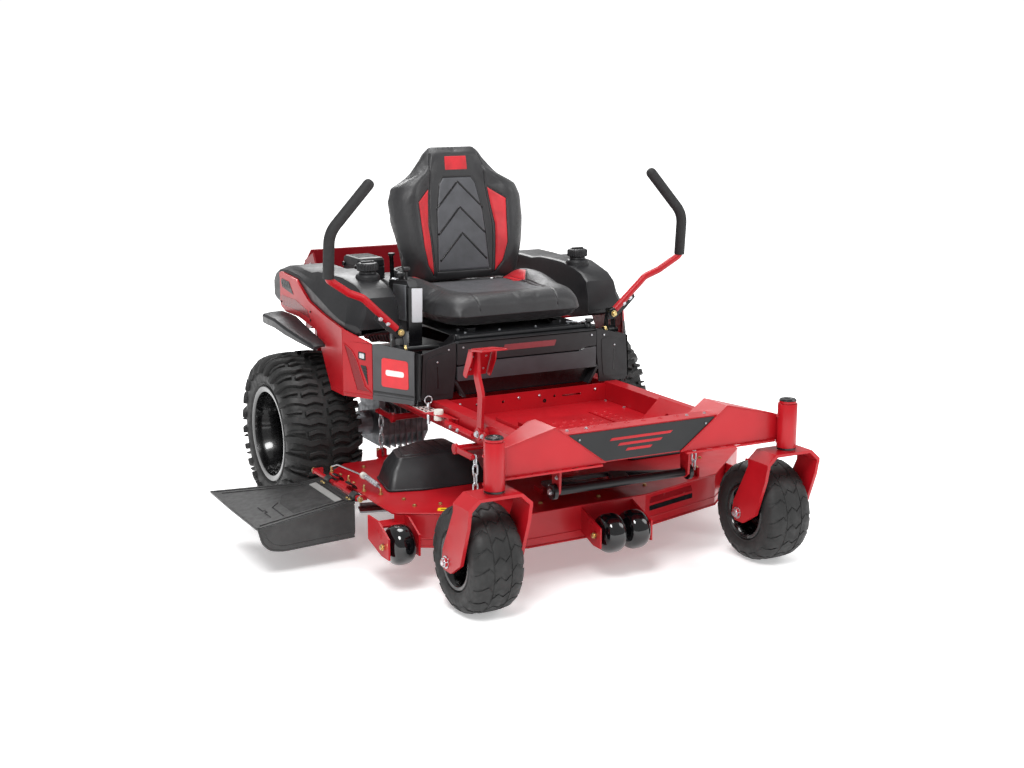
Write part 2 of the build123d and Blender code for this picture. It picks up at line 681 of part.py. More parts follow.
def roller_brackets():
    """Plates that carry the anti-scalp rollers, with three height holes each."""
    centre = [(-784, 226), (-908, 184), (-908, 120), (-868, 120), (-784, 150)]
    for x in (-96, 90):
        slab_x(centre, x, x + 6)
        rod_x(8, (x - 1, x + 7), -880, ROLLER_Z, mode=Mode.SUBTRACT)
    corner = [(-560, 226), (-640, 226), (-716, 190), (-716, 124), (-660, 124), (-560, 150)]
    for x in (-718, -618, 612, 712):
        slab_x(corner, x, x + 6)
        rod_x(8, (x - 1, x + 7), -680, ROLLER_Z, mode=Mode.SUBTRACT)
    for low in (-718, 612):
        block((low, low + 106), (-620, -560), (196, 202))
    block((600, 718), (-610, -556), (196, 202))


def deck_shell():
    with BuildPart() as deck:
        slab_z(DECK_OUTLINE, DECK_BOTTOM_Z, DECK_TOP_Z)
        slab_z(DECK_INSIDE, DECK_BOTTOM_Z - 1, DECK_TOP_Z - DECK_SHEET, mode=Mode.SUBTRACT)
        roller_brackets()
        for index in (-1, 0, 1):
            x, y = spindle_place(index)
            rod_z(62, x, y, (DECK_TOP_Z - 1, 246))
            rod_z(34, x, y, (DECK_TOP_Z - DECK_SHEET - 34, 268))
        for index in (-1, 0, 1):
            x, y = spindle_place(index)
            rod_z(13, x, y, (180, 270), mode=Mode.SUBTRACT)
        hinge_x, hinge_z = DEFLECTOR_HINGE
        rod_y(7.95, hinge_x, (-372, 18), hinge_z)
        for y in (-372, -170, 8):
            block((hinge_x - 8, -640), (y, y + 10), (hinge_z - 8, hinge_z + 8))
        for x in (-408, 408):
            for y in (-680, 44):
                block((x - 14, x - 6), (y - 14, y + 14), (DECK_TOP_Z - 2, 262))
                block((x + 6, x + 14), (y - 14, y + 14), (DECK_TOP_Z - 2, 262))
                rod_x(3.5, (x - 14, x + 14), y, 259)
        for x in (-140, -100, 100, 140):
            block((x - 3, x + 3), (-625, -575), (DECK_TOP_Z - 2, 246))
    hand_in(deck, "deck_shell")


def spindle_place(index):
    """Spindle axis: index -1 is the right one, 0 the middle, 1 the left."""
    y = SPINDLE_MID_Y if index == 0 else SPINDLE_SIDE_Y
    return SPINDLE_MID_X + SPINDLE_STEP_X * index, y


def belt_covers():
    for name, x0 in (("right", SPINDLE_MID_X - SPINDLE_STEP_X), ("left", SPINDLE_MID_X + SPINDLE_STEP_X)):
        side = -1 if name == "right" else 1
        low = [(-178, -96), (-140, 90), (60, 190), (178, 190), (178, -130), (-60, -130)]
        high = [(-130, -60), (-100, 60), (40, 130), (130, 130), (130, -70), (-40, -70)]
        base = [(x0 - side * x, SPINDLE_SIDE_Y + 10 + y) for x, y in low]
        crown = [(x0 - side * x, SPINDLE_SIDE_Y + 10 + y) for x, y in high]
        with BuildPart() as cover:
            shells = ((0, DECK_TOP_Z + 0.3, 332, Mode.ADD), (5, DECK_TOP_Z, 327, Mode.SUBTRACT))
            for inset, bottom, top, mode in shells:
                with BuildSketch(Plane.XY.offset(bottom)) as foot:
                    with BuildLine():
                        Polyline(*base, close=True)
                    make_face()
                    if inset:
                        offset(amount=-inset)
                with BuildSketch(Plane.XY.offset(top)) as head:
                    with BuildLine():
                        Polyline(*crown, close=True)
                    make_face()
                    if inset:
                        offset(amount=-inset)
                loft([foot.sketch, head.sketch], mode=mode)
        hand_in(cover, f"{name}_belt_cover")


def spindles():
    for name, index in (("right", -1), ("centre", 0), ("left", 1)):
        x, y = spindle_place(index)
        turn = 35 * index + 20
        with BuildPart() as spindle:
            rod_z(12.9, x, y, (BLADE_Z, 300))
            rod_z(30, x, y, (BLADE_Z + 6, 192))
            rod_z(74, x, y, (272, 278))
            rod_z(64, x, y, (277, 291))
            rod_z(74, x, y, (290, 296))
            with Locations(Location((x, y, BLADE_Z + 3), (0, 0, turn))):
                Box(BLADE_LENGTH, 62, 6)
            with Locations(Location((x, y, BLADE_Z + 3), (0, 0, turn))):
                for end in (-1, 1):
                    with Locations((end * (BLADE_LENGTH / 2 - 60), end * -24, 8)):
                        Box(110, 10, 14)
            rod_z(18, x, y, (BLADE_Z - 12, BLADE_Z + 1))
        hand_in(spindle, f"{name}_blade_spindle")


def roller_profile(centre, half):
    return [
        (centre - half, 8.6), (centre - half, 30), (centre - half + 8, 48), (centre - half + 24, 59),
        (centre, ROLLER_R), (centre + half - 24, 59), (centre + half - 8, 48), (centre + half, 30),
        (centre + half, 8.6),
    ]


def rollers():
    with BuildPart() as pair:
        for x in (-43, 43):
            turned_x(roller_profile(x, 41), 0, -880, ROLLER_Z)
        rod_x(8.6, (-86, 86), -880, ROLLER_Z)
        rod_x(7.9, (-104, 104), -880, ROLLER_Z)
    hand_in(pair, "centre_rollers")
    for name, side in SIDES.items():
        with BuildPart() as roller:
            x = side * 665
            turned_x(roller_profile(0, 42), x, -680, ROLLER_Z)
            rod_x(8.6, (x - 44, x + 44), -680, ROLLER_Z)
            rod_x(7.9, (x - 60, x + 60), -680, ROLLER_Z)
        hand_in(roller, f"{name}_roller")


def deflector():
    """Moulded discharge deflector: sloping plate, front lip and three hinge loops."""
    hinge_x, hinge_z = DEFLECTOR_HINGE
    with BuildPart() as flap:
        slope = [
            (hinge_x - 12, hinge_z - 4), (hinge_x - 12, hinge_z - 12), (DEFLECTOR_TIP_X, 160),
            (DEFLECTOR_TIP_X, 167)]
        slab_y(slope, -360, 142)
        rear = [(hinge_x + 40, -60), (-750, -48), (DEFLECTOR_TIP_X - 10, 142), (hinge_x + 40, 150)]
        slab_z(rear, 100, 260, mode=Mode.SUBTRACT)
        lip = [
            (hinge_x - 12, hinge_z - 5), (hinge_x - 12, 92), (-930, 82), (-990, 110), (DEFLECTOR_TIP_X, 162)]
        slab_y(lip, -366, -359)
        for y in (-340, -120):
            rod_y(14, hinge_x, (y - 18, y + 18), hinge_z)
            block((hinge_x - 30, hinge_x), (y - 18, y + 18), (hinge_z - 14, hinge_z - 5))
        for y in (-340, -120):
            rod_y(7.95 + PIVOT_FIT, hinge_x, (y - 19, y + 19), hinge_z, mode=Mode.SUBTRACT)
    hand_in(flap, "discharge_deflector")


def lift_chains():
    """Four short chains between the lift arms and the deck brackets."""
    pitch = 29.6
    with BuildPart() as chains:
        for x in (-395, 395):
            for y in (-680, 44):
                for index in range(5):
                    z = 268 + pitch * index
                    along_x = index % 2 == 1
                    place = (x + (13 if x > 0 else -13), y, z)
                    plane = Plane(
                        place, x_dir=(1, 0, 0) if along_x else (0, 1, 0),
                        z_dir=(0, 1, 0) if along_x else (-1, 0, 0))
                    with BuildSketch(plane) as loop:
                        SlotOverall(42, 20, rotation=90)
                        SlotOverall(30, 8, rotation=90, mode=Mode.SUBTRACT)
                    extrude(loop.sketch, amount=3, both=True)
    hand_in(chains, "lift_chains")


def engine_pulley():
    with BuildPart() as pulley:
        rod_z(70, 0, CRANK_Y, (392, 404))
        rod_z(55, 0, CRANK_Y, (404, 440))
        rod_z(17 + PIVOT_FIT, 0, CRANK_Y, (370, 450), mode=Mode.SUBTRACT)
    hand_in(pulley, "engine_pulley")


front_axle_frame()
frame_rails()
rear_frame()
foot_pan()
casters()
drive_wheels()
transaxles()
engine()
engine_guard()
console_front()
seat_support()
side_panels()
tank_pods()
control_console()
cut_height_plate()
drive_levers()
lift_linkage()
seat()
deck_shell()
belt_covers()
spindles()
rollers()
deflector()
lift_chains()
engine_pulley()
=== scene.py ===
from math import cos, hypot, pi, radians, sin, sqrt

import bmesh
import bpy
from bpy.props import FloatProperty, IntProperty, PointerProperty, StringProperty
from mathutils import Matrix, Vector
from mathutils.bvhtree import BVHTree


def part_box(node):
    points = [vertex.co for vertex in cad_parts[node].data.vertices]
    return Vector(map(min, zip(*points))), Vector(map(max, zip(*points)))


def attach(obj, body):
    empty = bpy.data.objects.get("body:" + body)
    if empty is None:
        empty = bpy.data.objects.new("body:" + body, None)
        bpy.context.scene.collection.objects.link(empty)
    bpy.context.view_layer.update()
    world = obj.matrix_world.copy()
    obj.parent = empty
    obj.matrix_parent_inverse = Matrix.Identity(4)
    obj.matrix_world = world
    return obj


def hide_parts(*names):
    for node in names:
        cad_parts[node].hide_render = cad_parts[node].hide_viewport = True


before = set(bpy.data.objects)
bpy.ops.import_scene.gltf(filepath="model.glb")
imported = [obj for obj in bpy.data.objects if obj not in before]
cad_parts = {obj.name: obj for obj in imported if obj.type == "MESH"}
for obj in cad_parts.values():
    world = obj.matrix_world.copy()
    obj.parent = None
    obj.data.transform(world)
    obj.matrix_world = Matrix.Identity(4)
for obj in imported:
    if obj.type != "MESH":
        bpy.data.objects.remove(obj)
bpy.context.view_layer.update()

bl_info = {
    "name": "Zero turn mower",
    "version": (1, 0, 0),
    "blender": (4, 5, 0),
    "location": "3D View > Sidebar > Mower",
    "description": "Builds the visible pieces of a zero turn mower around its packed frame",
    "category": "Object",
}

MM = 0.001
SIDES = {"right": -1, "left": 1}
UP, LEFTWARD, RIGHTWARD, FORWARD, REARWARD = (0, 0, 1), (1, 0, 0), (-1, 0, 0), (0, -1, 0), (0, 1, 0)

# ---- the machine's own axes ----
# Sizes below are millimetres from the middle of the wheel track (X), from a
# line 341 mm ahead of the drive axle (Y) and from the ground (Z).
AXLE_AHEAD = 341


def box_middle(node):
    low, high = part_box(node)
    return (low + high) / 2


RIGHT_WHEEL = box_middle("right_drive_tyre")
LEFT_WHEEL = box_middle("left_drive_tyre")
DATUM = Vector(((RIGHT_WHEEL.x + LEFT_WHEEL.x) / 2, RIGHT_WHEEL.y - AXLE_AHEAD * MM, 0))


def at(x, y, z):
    """Machine millimetres to the row frame's metres."""
    return Vector((x * MM + DATUM.x, y * MM + DATUM.y, z * MM))


def points_at(*spots):
    return [at(*spot) for spot in spots]


# ---- settings ----
def colour_setting(name, description, hex_value):
    return StringProperty(name=name, description=description, default=hex_value)


class MowerColours(bpy.types.PropertyGroup):
    """Finish colours as sRGB hex values."""

    paint: colour_setting("Paint", "Powder-coat red of the frame and deck", "#A8121C")
    dark_paint: colour_setting("Guard paint", "Red of the rear guard in its own shade", "#7A0E18")
    plastic: colour_setting("Moulded plastic", "Charcoal of the tower, tanks and skirts", "#1D1D1F")
    grey_plastic: colour_setting("Cowl plastic", "Lighter grey of the front cowls", "#48494B")
    vinyl: colour_setting("Seat vinyl", "Main seat cover", "#1F1F21")
    vinyl_grey: colour_setting("Seat centre", "Grey centre panel of the seat", "#414246")
    vinyl_red: colour_setting("Seat inserts", "Red side inserts of the seat", "#B5121F")
    rubber: colour_setting("Rubber", "Tyres and deflector", "#171717")


class MowerSizes(bpy.types.PropertyGroup):
    """Sizes a user may want to change."""

    lug_height: FloatProperty(
        name="Lug height", description="Height of the drive tyre's tread blocks",
        default=0.015, min=0.004, max=0.02, unit="LENGTH")
    lug_pitches: IntProperty(
        name="Lug pitches", description="Tread pattern repeats round a drive tyre", default=24, min=8, max=40)
    grip_radius: FloatProperty(
        name="Grip radius", description="Outer radius of the foam grips",
        default=0.0185, min=0.012, max=0.02, unit="LENGTH")
    edge_round: FloatProperty(
        name="Edge rounding", description="Bevel on folded and cut steel edges",
        default=0.0018, min=0.0, max=0.004, unit="LENGTH")


# ---- materials ----
def linear(hex_value):
    """sRGB hex to a linear RGBA tuple."""
    def channel(text):
        value = int(text, 16) / 255
        return value / 12.92 if value <= 0.04045 else ((value + 0.055) / 1.055) ** 2.4
    digits = hex_value.lstrip("#")
    return tuple(channel(digits[i:i + 2]) for i in (0, 2, 4)) + (1.0,)


def shade(hex_value, factor):
    """A darker or lighter linear colour of the same hue."""
    red, green, blue, alpha = linear(hex_value)
    return (min(1, red * factor), min(1, green * factor), min(1, blue * factor), alpha)


def shade_hex(hex_value, factor):
    """A darker sRGB hex value of the same hue."""
    digits = hex_value.lstrip("#")
    return "#" + "".join(f"{int(int(digits[i:i + 2], 16) * factor):02X}" for i in (0, 2, 4))


def add_node(tree, kind, values=None, links=None, **settings):
    """Add a node, set its properties and input values, and link its inputs."""
    node = tree.nodes.new(kind)
    for key, value in settings.items():
        setattr(node, key, value)
    for key, value in (values or {}).items():
        node.inputs[key].default_value = value
    for key, socket in (links or {}).items():
        tree.links.new(socket, node.inputs[key])
    return node


MATERIALS = {}


def new_material(name):
    """Empty node material with a Principled shader; returns (material, tree, shader, object coordinates)."""
    material = bpy.data.materials.new(name)
    material.use_nodes = True
    tree = material.node_tree
    tree.nodes.clear()
    shader = add_node(tree, "ShaderNodeBsdfPrincipled")
    add_node(tree, "ShaderNodeOutputMaterial", links={"Surface": shader.outputs[0]})
    place = add_node(tree, "ShaderNodeTexCoord").outputs["Object"]
    MATERIALS[name] = material
    return material, tree, shader, place


def noise_at(tree, place, size_mm, detail=3.0, roughness=0.5):
    """Noise whose features are about size_mm across."""
    node = add_node(
        tree, "ShaderNodeTexNoise", links={"Vector": place},
        values={"Scale": 1 / (size_mm * MM), "Detail": detail, "Roughness": roughness})
    return node.outputs["Fac"]


def vary_colour(tree, shader, factor, low, high):
    """Drive the base colour between two linear colours."""
    ramp = add_node(tree, "ShaderNodeValToRGB", links={"Fac": factor})
    ramp.color_ramp.elements[0].position = 0.35
    ramp.color_ramp.elements[0].color = low
    ramp.color_ramp.elements[1].position = 0.65
    ramp.color_ramp.elements[1].color = high
    tree.links.new(ramp.outputs["Color"], shader.inputs["Base Color"])


def vary_roughness(tree, shader, factor, low, high):
    spread = add_node(
        tree, "ShaderNodeMapRange", links={"Value": factor},
        values={"From Min": 0.3, "From Max": 0.7, "To Min": low, "To Max": high})
    tree.links.new(spread.outputs["Result"], shader.inputs["Roughness"])


def drift_colour(tree, shader, place, hex_value, cloud, darkest, palest):
    """Mottle one colour with clouds of (size in mm, detail, roughness)."""
    vary_colour(tree, shader, noise_at(tree, place, *cloud), shade(hex_value, darkest), shade(hex_value, palest))


def drift_roughness(tree, shader, place, cloud, low, high):
    """Let the gloss wander between two roughness values with the same kind of clouds."""
    vary_roughness(tree, shader, noise_at(tree, place, *cloud), low, high)


def add_bump(tree, shader, height, depth_mm, strength):
    bump = add_node(
        tree, "ShaderNodeBump", links={"Height": height},
        values={"Strength": strength, "Distance": depth_mm * MM})
    tree.links.new(bump.outputs["Normal"], shader.inputs["Normal"])


def powder_coated_steel(name, hex_value, gloss=0.3):
    """Baked powder coat: an even, glossy colour with faint orange peel and a slightly mottled sheen."""
    material, tree, shader, place = new_material(name)
    drift_colour(tree, shader, place, hex_value, (140, 2), 0.88, 1.06)
    drift_roughness(tree, shader, place, (60, 4), gloss, gloss + 0.1)
    # Orange peel is about 2 mm across on the real coat; 3 mm here so that it shows.
    add_bump(tree, shader, noise_at(tree, place, 3, 2), 0.12, 0.35)
    shader.inputs["Specular IOR Level"].default_value = 0.28
    shader.inputs["Coat Weight"].default_value = 0.1
    shader.inputs["Coat Roughness"].default_value = 0.1
    return material


def moulded_plastic(name, hex_value, rough=0.38, grain_mm=1.4, depth_mm=0.1):
    """Injection-moulded polypropylene: spark-eroded grain that scatters a wide soft highlight."""
    material, tree, shader, place = new_material(name)
    drift_colour(tree, shader, place, hex_value, (90, 3), 0.85, 1.12)
    drift_roughness(tree, shader, place, (25, 4), rough - 0.04, rough + 0.08)
    add_bump(tree, shader, noise_at(tree, place, grain_mm, 2), depth_mm, 0.5)
    shader.inputs["Specular IOR Level"].default_value = 0.38
    return material


def gloss_enamel(name, hex_value, rough=0.12):
    """Sprayed wheel enamel: wet-looking, with fine dust nibs under the clear coat."""
    material, tree, shader, place = new_material(name)
    drift_colour(tree, shader, place, hex_value, (60, 2), 0.8, 1.2)
    drift_roughness(tree, shader, place, (18, 3), rough, rough + 0.1)
    add_bump(tree, shader, noise_at(tree, place, 5, 2), 0.08, 0.3)
    shader.inputs["Coat Weight"].default_value = 0.6
    shader.inputs["Coat Roughness"].default_value = 0.05
    shader.inputs["Specular IOR Level"].default_value = 0.32
    return material


def vulcanised_rubber(name, hex_value, rough=0.62, dust=1.5):
    """Tyre rubber: nearly black, matt, with pale mould bloom and a coarse skin."""
    material, tree, shader, place = new_material(name)
    drift_colour(tree, shader, place, hex_value, (45, 5, 0.6), 0.75, dust)
    drift_roughness(tree, shader, place, (20, 4), rough - 0.1, rough + 0.12)
    add_bump(tree, shader, noise_at(tree, place, 2.2, 4, 0.6), 0.25, 0.55)
    return material


def coated_vinyl(name, hex_value, rough=0.4):
    """Marine vinyl on foam: an embossed leather grain of small raised cells with dark creases between."""
    material, tree, shader, place = new_material(name)
    drift_colour(tree, shader, place, hex_value, (50, 3), 0.85, 1.15)
    drift_roughness(tree, shader, place, (12, 4), rough - 0.05, rough + 0.1)
    # Grain cells are about 1.2 mm on the cover; 2.4 mm here so that they show.
    cells = add_node(
        tree, "ShaderNodeTexVoronoi", links={"Vector": place}, feature="DISTANCE_TO_EDGE",
        values={"Scale": 1 / (2.4 * MM), "Randomness": 1.0})
    plump = add_node(
        tree, "ShaderNodeMapRange", links={"Value": cells.outputs["Distance"]},
        values={"From Min": 0.0, "From Max": 0.12, "To Min": 0.0, "To Max": 1.0})
    add_bump(tree, shader, plump.outputs["Result"], 0.18, 0.45)
    shader.inputs["Sheen Weight"].default_value = 0.08
    return material


def closed_cell_foam(name, hex_value):
    """Slip-on foam grip: matt black with an open pebbled skin."""
    material, tree, shader, place = new_material(name)
    drift_colour(tree, shader, place, hex_value, (12, 3), 0.8, 1.3)
    shader.inputs["Roughness"].default_value = 0.72
    cells = add_node(tree, "ShaderNodeTexVoronoi", links={"Vector": place}, values={"Scale": 1 / (1.8 * MM)})
    add_bump(tree, shader, cells.outputs["Distance"], 0.3, 0.6)
    return material


def plated_steel(name, hex_value, rough=0.3):
    """Zinc-plated steel: pale metal with a cloudy passivated film."""
    material, tree, shader, place = new_material(name)
    shader.inputs["Metallic"].default_value = 1.0
    drift_colour(tree, shader, place, hex_value, (8, 3), 0.75, 1.1)
    drift_roughness(tree, shader, place, (5, 3), rough - 0.06, rough + 0.14)
    add_bump(tree, shader, noise_at(tree, place, 1.5, 2), 0.05, 0.3)
    return material


def sand_cast_aluminium(name, hex_value, rough=0.5):
    """Cast housings: dull grey metal with a sandy skin."""
    material, tree, shader, place = new_material(name)
    shader.inputs["Metallic"].default_value = 0.85
    drift_colour(tree, shader, place, hex_value, (30, 4), 0.7, 1.15)
    drift_roughness(tree, shader, place, (14, 3), rough - 0.08, rough + 0.12)
    add_bump(tree, shader, noise_at(tree, place, 1.8, 3, 0.6), 0.3, 0.6)
    return material


def brushed_panel(name, hex_value):
    """Brushed aluminium: fine scratches along one direction that stretch the highlight across them."""
    material, tree, shader, place = new_material(name)
    shader.inputs["Metallic"].default_value = 1.0
    stretched = add_node(tree, "ShaderNodeMapping", links={"Vector": place})
    stretched.inputs["Scale"].default_value = (1.0, 0.03, 1.0)
    # Real scratches are under 0.1 mm; 0.8 mm here so that they show.
    lines = noise_at(tree, stretched.outputs["Vector"], 0.8, 2)
    vary_colour(tree, shader, lines, shade(hex_value, 0.86), shade(hex_value, 1.05))
    vary_roughness(tree, shader, lines, 0.28, 0.42)
    add_bump(tree, shader, lines, 0.03, 0.3)
    return material


def painted_label(name, hex_value):
    """Screen-printed polyester label: flat ink under a satin film."""
    material, tree, shader, place = new_material(name)
    drift_colour(tree, shader, place, hex_value, (30, 2), 0.93, 1.04)
    drift_roughness(tree, shader, place, (9, 3), 0.32, 0.42)
    add_bump(tree, shader, noise_at(tree, place, 2, 2), 0.02, 0.2)
    return material


def clear_plastic(name, hex_value):
    """Clear moulded lens: bright, smooth and see-through, with a faint moulded ripple."""
    material, tree, shader, place = new_material(name)
    drift_colour(tree, shader, place, hex_value, (15, 2), 0.9, 1.02)
    shader.inputs["Roughness"].default_value = 0.06
    shader.inputs["Transmission Weight"].default_value = 0.35
    add_bump(tree, shader, noise_at(tree, place, 4, 2), 0.05, 0.3)
    return material


def make_materials(colours):
    powder_coated_steel("powder_coated_steel_red", colours.paint)
    powder_coated_steel("powder_coated_steel_guard", colours.dark_paint, 0.3)
    powder_coated_steel("powder_coated_steel_deep", shade_hex(colours.paint, 0.72), 0.2)
    powder_coated_steel("powder_coated_steel_black", "#17181A", 0.32)
    moulded_plastic("moulded_polypropylene_black", colours.plastic)
    moulded_plastic("moulded_polypropylene_grey", colours.grey_plastic, 0.42)
    moulded_plastic("moulded_polypropylene_satin", "#39393C", 0.32)
    moulded_plastic("moulded_nylon_gloss", "#121214", 0.2, 3.0, 0.05)
    moulded_plastic("moulded_acetal_white", "#D9D7CF", 0.3, 3.0, 0.05)
    gloss_enamel("enamelled_wheel_black", "#060607", 0.2)
    gloss_enamel("enamelled_roller_black", "#08080A", 0.07)
    vulcanised_rubber("vulcanised_tyre_rubber", colours.rubber)
    vulcanised_rubber("moulded_deflector_rubber", "#2B2B2B", 0.4, 1.25)
    vulcanised_rubber("scuffed_deflector_rubber", "#1C1C1C", 0.6, 2.2)
    coated_vinyl("coated_vinyl_black", colours.vinyl)
    coated_vinyl("coated_vinyl_grey", colours.vinyl_grey, 0.46)
    coated_vinyl("coated_vinyl_red", colours.vinyl_red, 0.42)
    closed_cell_foam("closed_cell_foam_black", "#161617")
    plated_steel("zinc_plated_steel", "#C9CCD0")
    plated_steel("yellow_zinc_steel", "#C9B27A", 0.28)
    plated_steel("oiled_blade_steel", "#8E9093", 0.38)
    sand_cast_aluminium("sand_cast_aluminium", "#8A8C90")
    sand_cast_aluminium("heat_stained_steel", "#5C5048", 0.55)
    brushed_panel("brushed_aluminium_plate", "#D2D5D9")
    painted_label("printed_label_yellow", "#E9C21B")
    painted_label("printed_label_white", "#E4E4E0")
    painted_label("printed_label_red", "#D3222B")
    painted_label("printed_label_dark_red", "#7A2A30")
    painted_label("printed_label_grey", "#8C8C8A")
    clear_plastic("clear_polycarbonate", "#E9ECEF")


# ---- mesh building ----
class Shape:
    """Points and faces gathered from simple makers, with a finish index per face."""

    def __init__(self):
        self.points = []
        self.faces = []
        self.finish = []

    def add(self, points, faces, finish=0):
        start = len(self.points)
        self.points += [Vector(point) for point in points]
        self.faces += [[start + index for index in face] for face in faces]
        self.finish += [finish] * len(faces)

    def prism(self, outline, low, high, to_point, finish=0):
        """Closed prism: to_point(u, v, w) places each outline point (u, v) at depth w."""
        count = len(outline)
        points = [to_point(u, v, w) for w in (low, high) for u, v in outline]
        faces = [list(range(count))[::-1], list(range(count, 2 * count))]
        faces += [[i, (i + 1) % count, count + (i + 1) % count, count + i] for i in range(count)]
        self.add(points, faces, finish)

    def slab_x(self, outline, low, high, finish=0):
        self.prism(outline, low, high, lambda y, z, x: at(x, y, z), finish)

    def slab_y(self, outline, low, high, finish=0):
        self.prism(outline, low, high, lambda x, z, y: at(x, y, z), finish)

    def slab_z(self, outline, low, high, finish=0):
        self.prism(outline, low, high, lambda x, y, z: at(x, y, z), finish)

    def block(self, x, y, z, finish=0):
        self.slab_z([(x[0], y[0]), (x[1], y[0]), (x[1], y[1]), (x[0], y[1])], z[0], z[1], finish)

    def lathe(self, profile, centre, axis, steps=64, finish=0, closed=True):
        """Turn (offset, radius) points, in mm, about an axis through centre (row metres)."""
        axis = Vector(axis).normalized()
        across = axis.orthogonal().normalized()
        over = axis.cross(across)
        count = len(profile)
        points = []
        for step in range(steps):
            angle = 2 * pi * step / steps
            ray = across * cos(angle) + over * sin(angle)
            points += [centre + axis * (offset * MM) + ray * (radius * MM) for offset, radius in profile]
        faces = []
        spans = count if closed else count - 1
        for step in range(steps):
            here, there = step * count, ((step + 1) % steps) * count
            for i in range(spans):
                j = (i + 1) % count
                faces.append([here + i, here + j, there + j, there + i])
        self.add(points, faces, finish)

    def disc(self, low, high, hole, radius, centre, axis, steps=24, finish=0):
        """Washer, pin or drum between two offsets along an axis."""
        self.lathe([(low, hole), (low, radius), (high, radius), (high, hole)], centre, axis, steps, finish)

    def tube(self, route, radius, sides=14, finish=0, capped=True):
        """Round bar along a list of row points; radius in mm, or one per point."""
        route = [Vector(point) for point in route]
        radii = radius if isinstance(radius, (list, tuple)) else [radius] * len(route)
        ahead = (route[1] - route[0]).normalized()
        side = ahead.orthogonal().normalized()
        points = []
        for i, point in enumerate(route):
            before = route[max(i - 1, 0)]
            after = route[min(i + 1, len(route) - 1)]
            ahead = (after - before).normalized()
            side = (side - ahead * side.dot(ahead)).normalized()
            over = ahead.cross(side)
            for k in range(sides):
                angle = 2 * pi * k / sides
                points.append(point + (side * cos(angle) + over * sin(angle)) * (radii[i] * MM))
        faces = []
        for i in range(len(route) - 1):
            for k in range(sides):
                a, b = i * sides + k, i * sides + (k + 1) % sides
                faces.append([a, b, b + sides, a + sides])
        if capped:
            faces.append(list(range(sides))[::-1])
            faces.append(list(range(len(points) - sides, len(points))))
        self.add(points, faces, finish)

    def bolt(self, centre, axis, size=8, finish=0, washer=True):
        """Hex head on a washer; centre is on the seat, axis points out, size is the shank in mm."""
        axis = Vector(axis).normalized()
        if washer:
            self.lathe([(0, size * 0.5), (0, size * 1.15), (size * 0.18, size * 1.15), (size * 0.22, size * 0.5)],
                       centre, axis, 24, finish)
        across = axis.orthogonal().normalized()
        over = axis.cross(across)
        rings = ((0.2, 0.92), (0.72, 0.92), (0.86, 0.78))
        points = []
        for height, reach in rings:
            for k in range(6):
                ray = across * cos(pi * k / 3) + over * sin(pi * k / 3)
                points.append(centre + axis * (height * size * MM) + ray * (reach * size * MM))
        faces = [[0, 1, 2, 3, 4, 5], [17, 16, 15, 14, 13, 12]]
        for ring in (0, 6):
            faces += [[ring + k, ring + 6 + k, ring + 6 + (k + 1) % 6, ring + (k + 1) % 6] for k in range(6)]
        self.add(points, faces, finish)


def arc_route(points, radius_mm, steps=8):
    """Straight runs joined by tangent arcs, as row points."""
    route = [points[0]]
    for before, corner, after in zip(points, points[1:], points[2:]):
        back, ahead = (before - corner).normalized(), (after - corner).normalized()
        half = back.angle(ahead) / 2
        reach = min(radius_mm * MM / max(0.05, abs(sin(half) / cos(half))),
                    0.48 * (before - corner).length, 0.48 * (after - corner).length)
        start, end = corner + back * reach, corner + ahead * reach
        for step in range(steps + 1):
            t = step / steps
            route.append(start * (1 - t) ** 2 + corner * (2 * t * (1 - t)) + end * t ** 2)
    return route + [points[-1]]


def rounded(outline, radius, steps=4):
    """Round every corner of a closed outline by an arc that fits the shorter run beside it."""
    points = []
    count = len(outline)
    for i in range(count):
        before, corner, after = (Vector(outline[(i + k) % count]) for k in (-1, 0, 1))
        back, ahead = before - corner, after - corner
        reach = min(radius, 0.45 * back.length, 0.45 * ahead.length)
        start, end = corner + back.normalized() * reach, corner + ahead.normalized() * reach
        for step in range(steps + 1):
            t = step / steps
            points.append(tuple(start * (1 - t) ** 2 + corner * (2 * t * (1 - t)) + end * t ** 2))
    return points


def loft(shape, rings, finish=0, capped=True):
    """Skin between rings of equal point counts (row points)."""
    count = len(rings[0])
    points = [point for ring in rings for point in ring]
    faces = []
    for i in range(len(rings) - 1):
        for k in range(count):
            a, b = i * count + k, i * count + (k + 1) % count
            faces.append([a, b, b + count, a + count])
    if capped:
        faces += [list(range(count))[::-1], list(range(len(points) - count, len(points)))]
    shape.add(points, faces, finish)


def rib(shape, route, width, low, high, to_point, finish=0):
    """Raised strip of constant width along a route of (u, v) points."""
    for (u0, v0), (u1, v1) in zip(route, route[1:]):
        length = hypot(u1 - u0, v1 - v0)
        nu, nv = -(v1 - v0) / length * width / 2, (u1 - u0) / length * width / 2
        eu, ev = (u1 - u0) / length * width / 2, (v1 - v0) / length * width / 2
        outline = [(u0 - eu + nu, v0 - ev + nv), (u0 - eu - nu, v0 - ev - nv),
                   (u1 + eu - nu, v1 + ev - nv), (u1 + eu + nu, v1 + ev + nv)]
        shape.prism(outline, low, high, to_point, finish)


def spring(shape, start, end, radius, wire, coils, finish=0, steps=14):
    """Coil spring between two row points."""
    axis = (end - start).normalized()
    across = axis.orthogonal().normalized()
    over = axis.cross(across)
    route = []
    for k in range(coils * steps + 1):
        angle = 2 * pi * k / steps
        route.append(start + (end - start) * (k / (coils * steps))
                     + (across * cos(angle) + over * sin(angle)) * (radius * MM))
    shape.tube(route, wire, 8, finish)


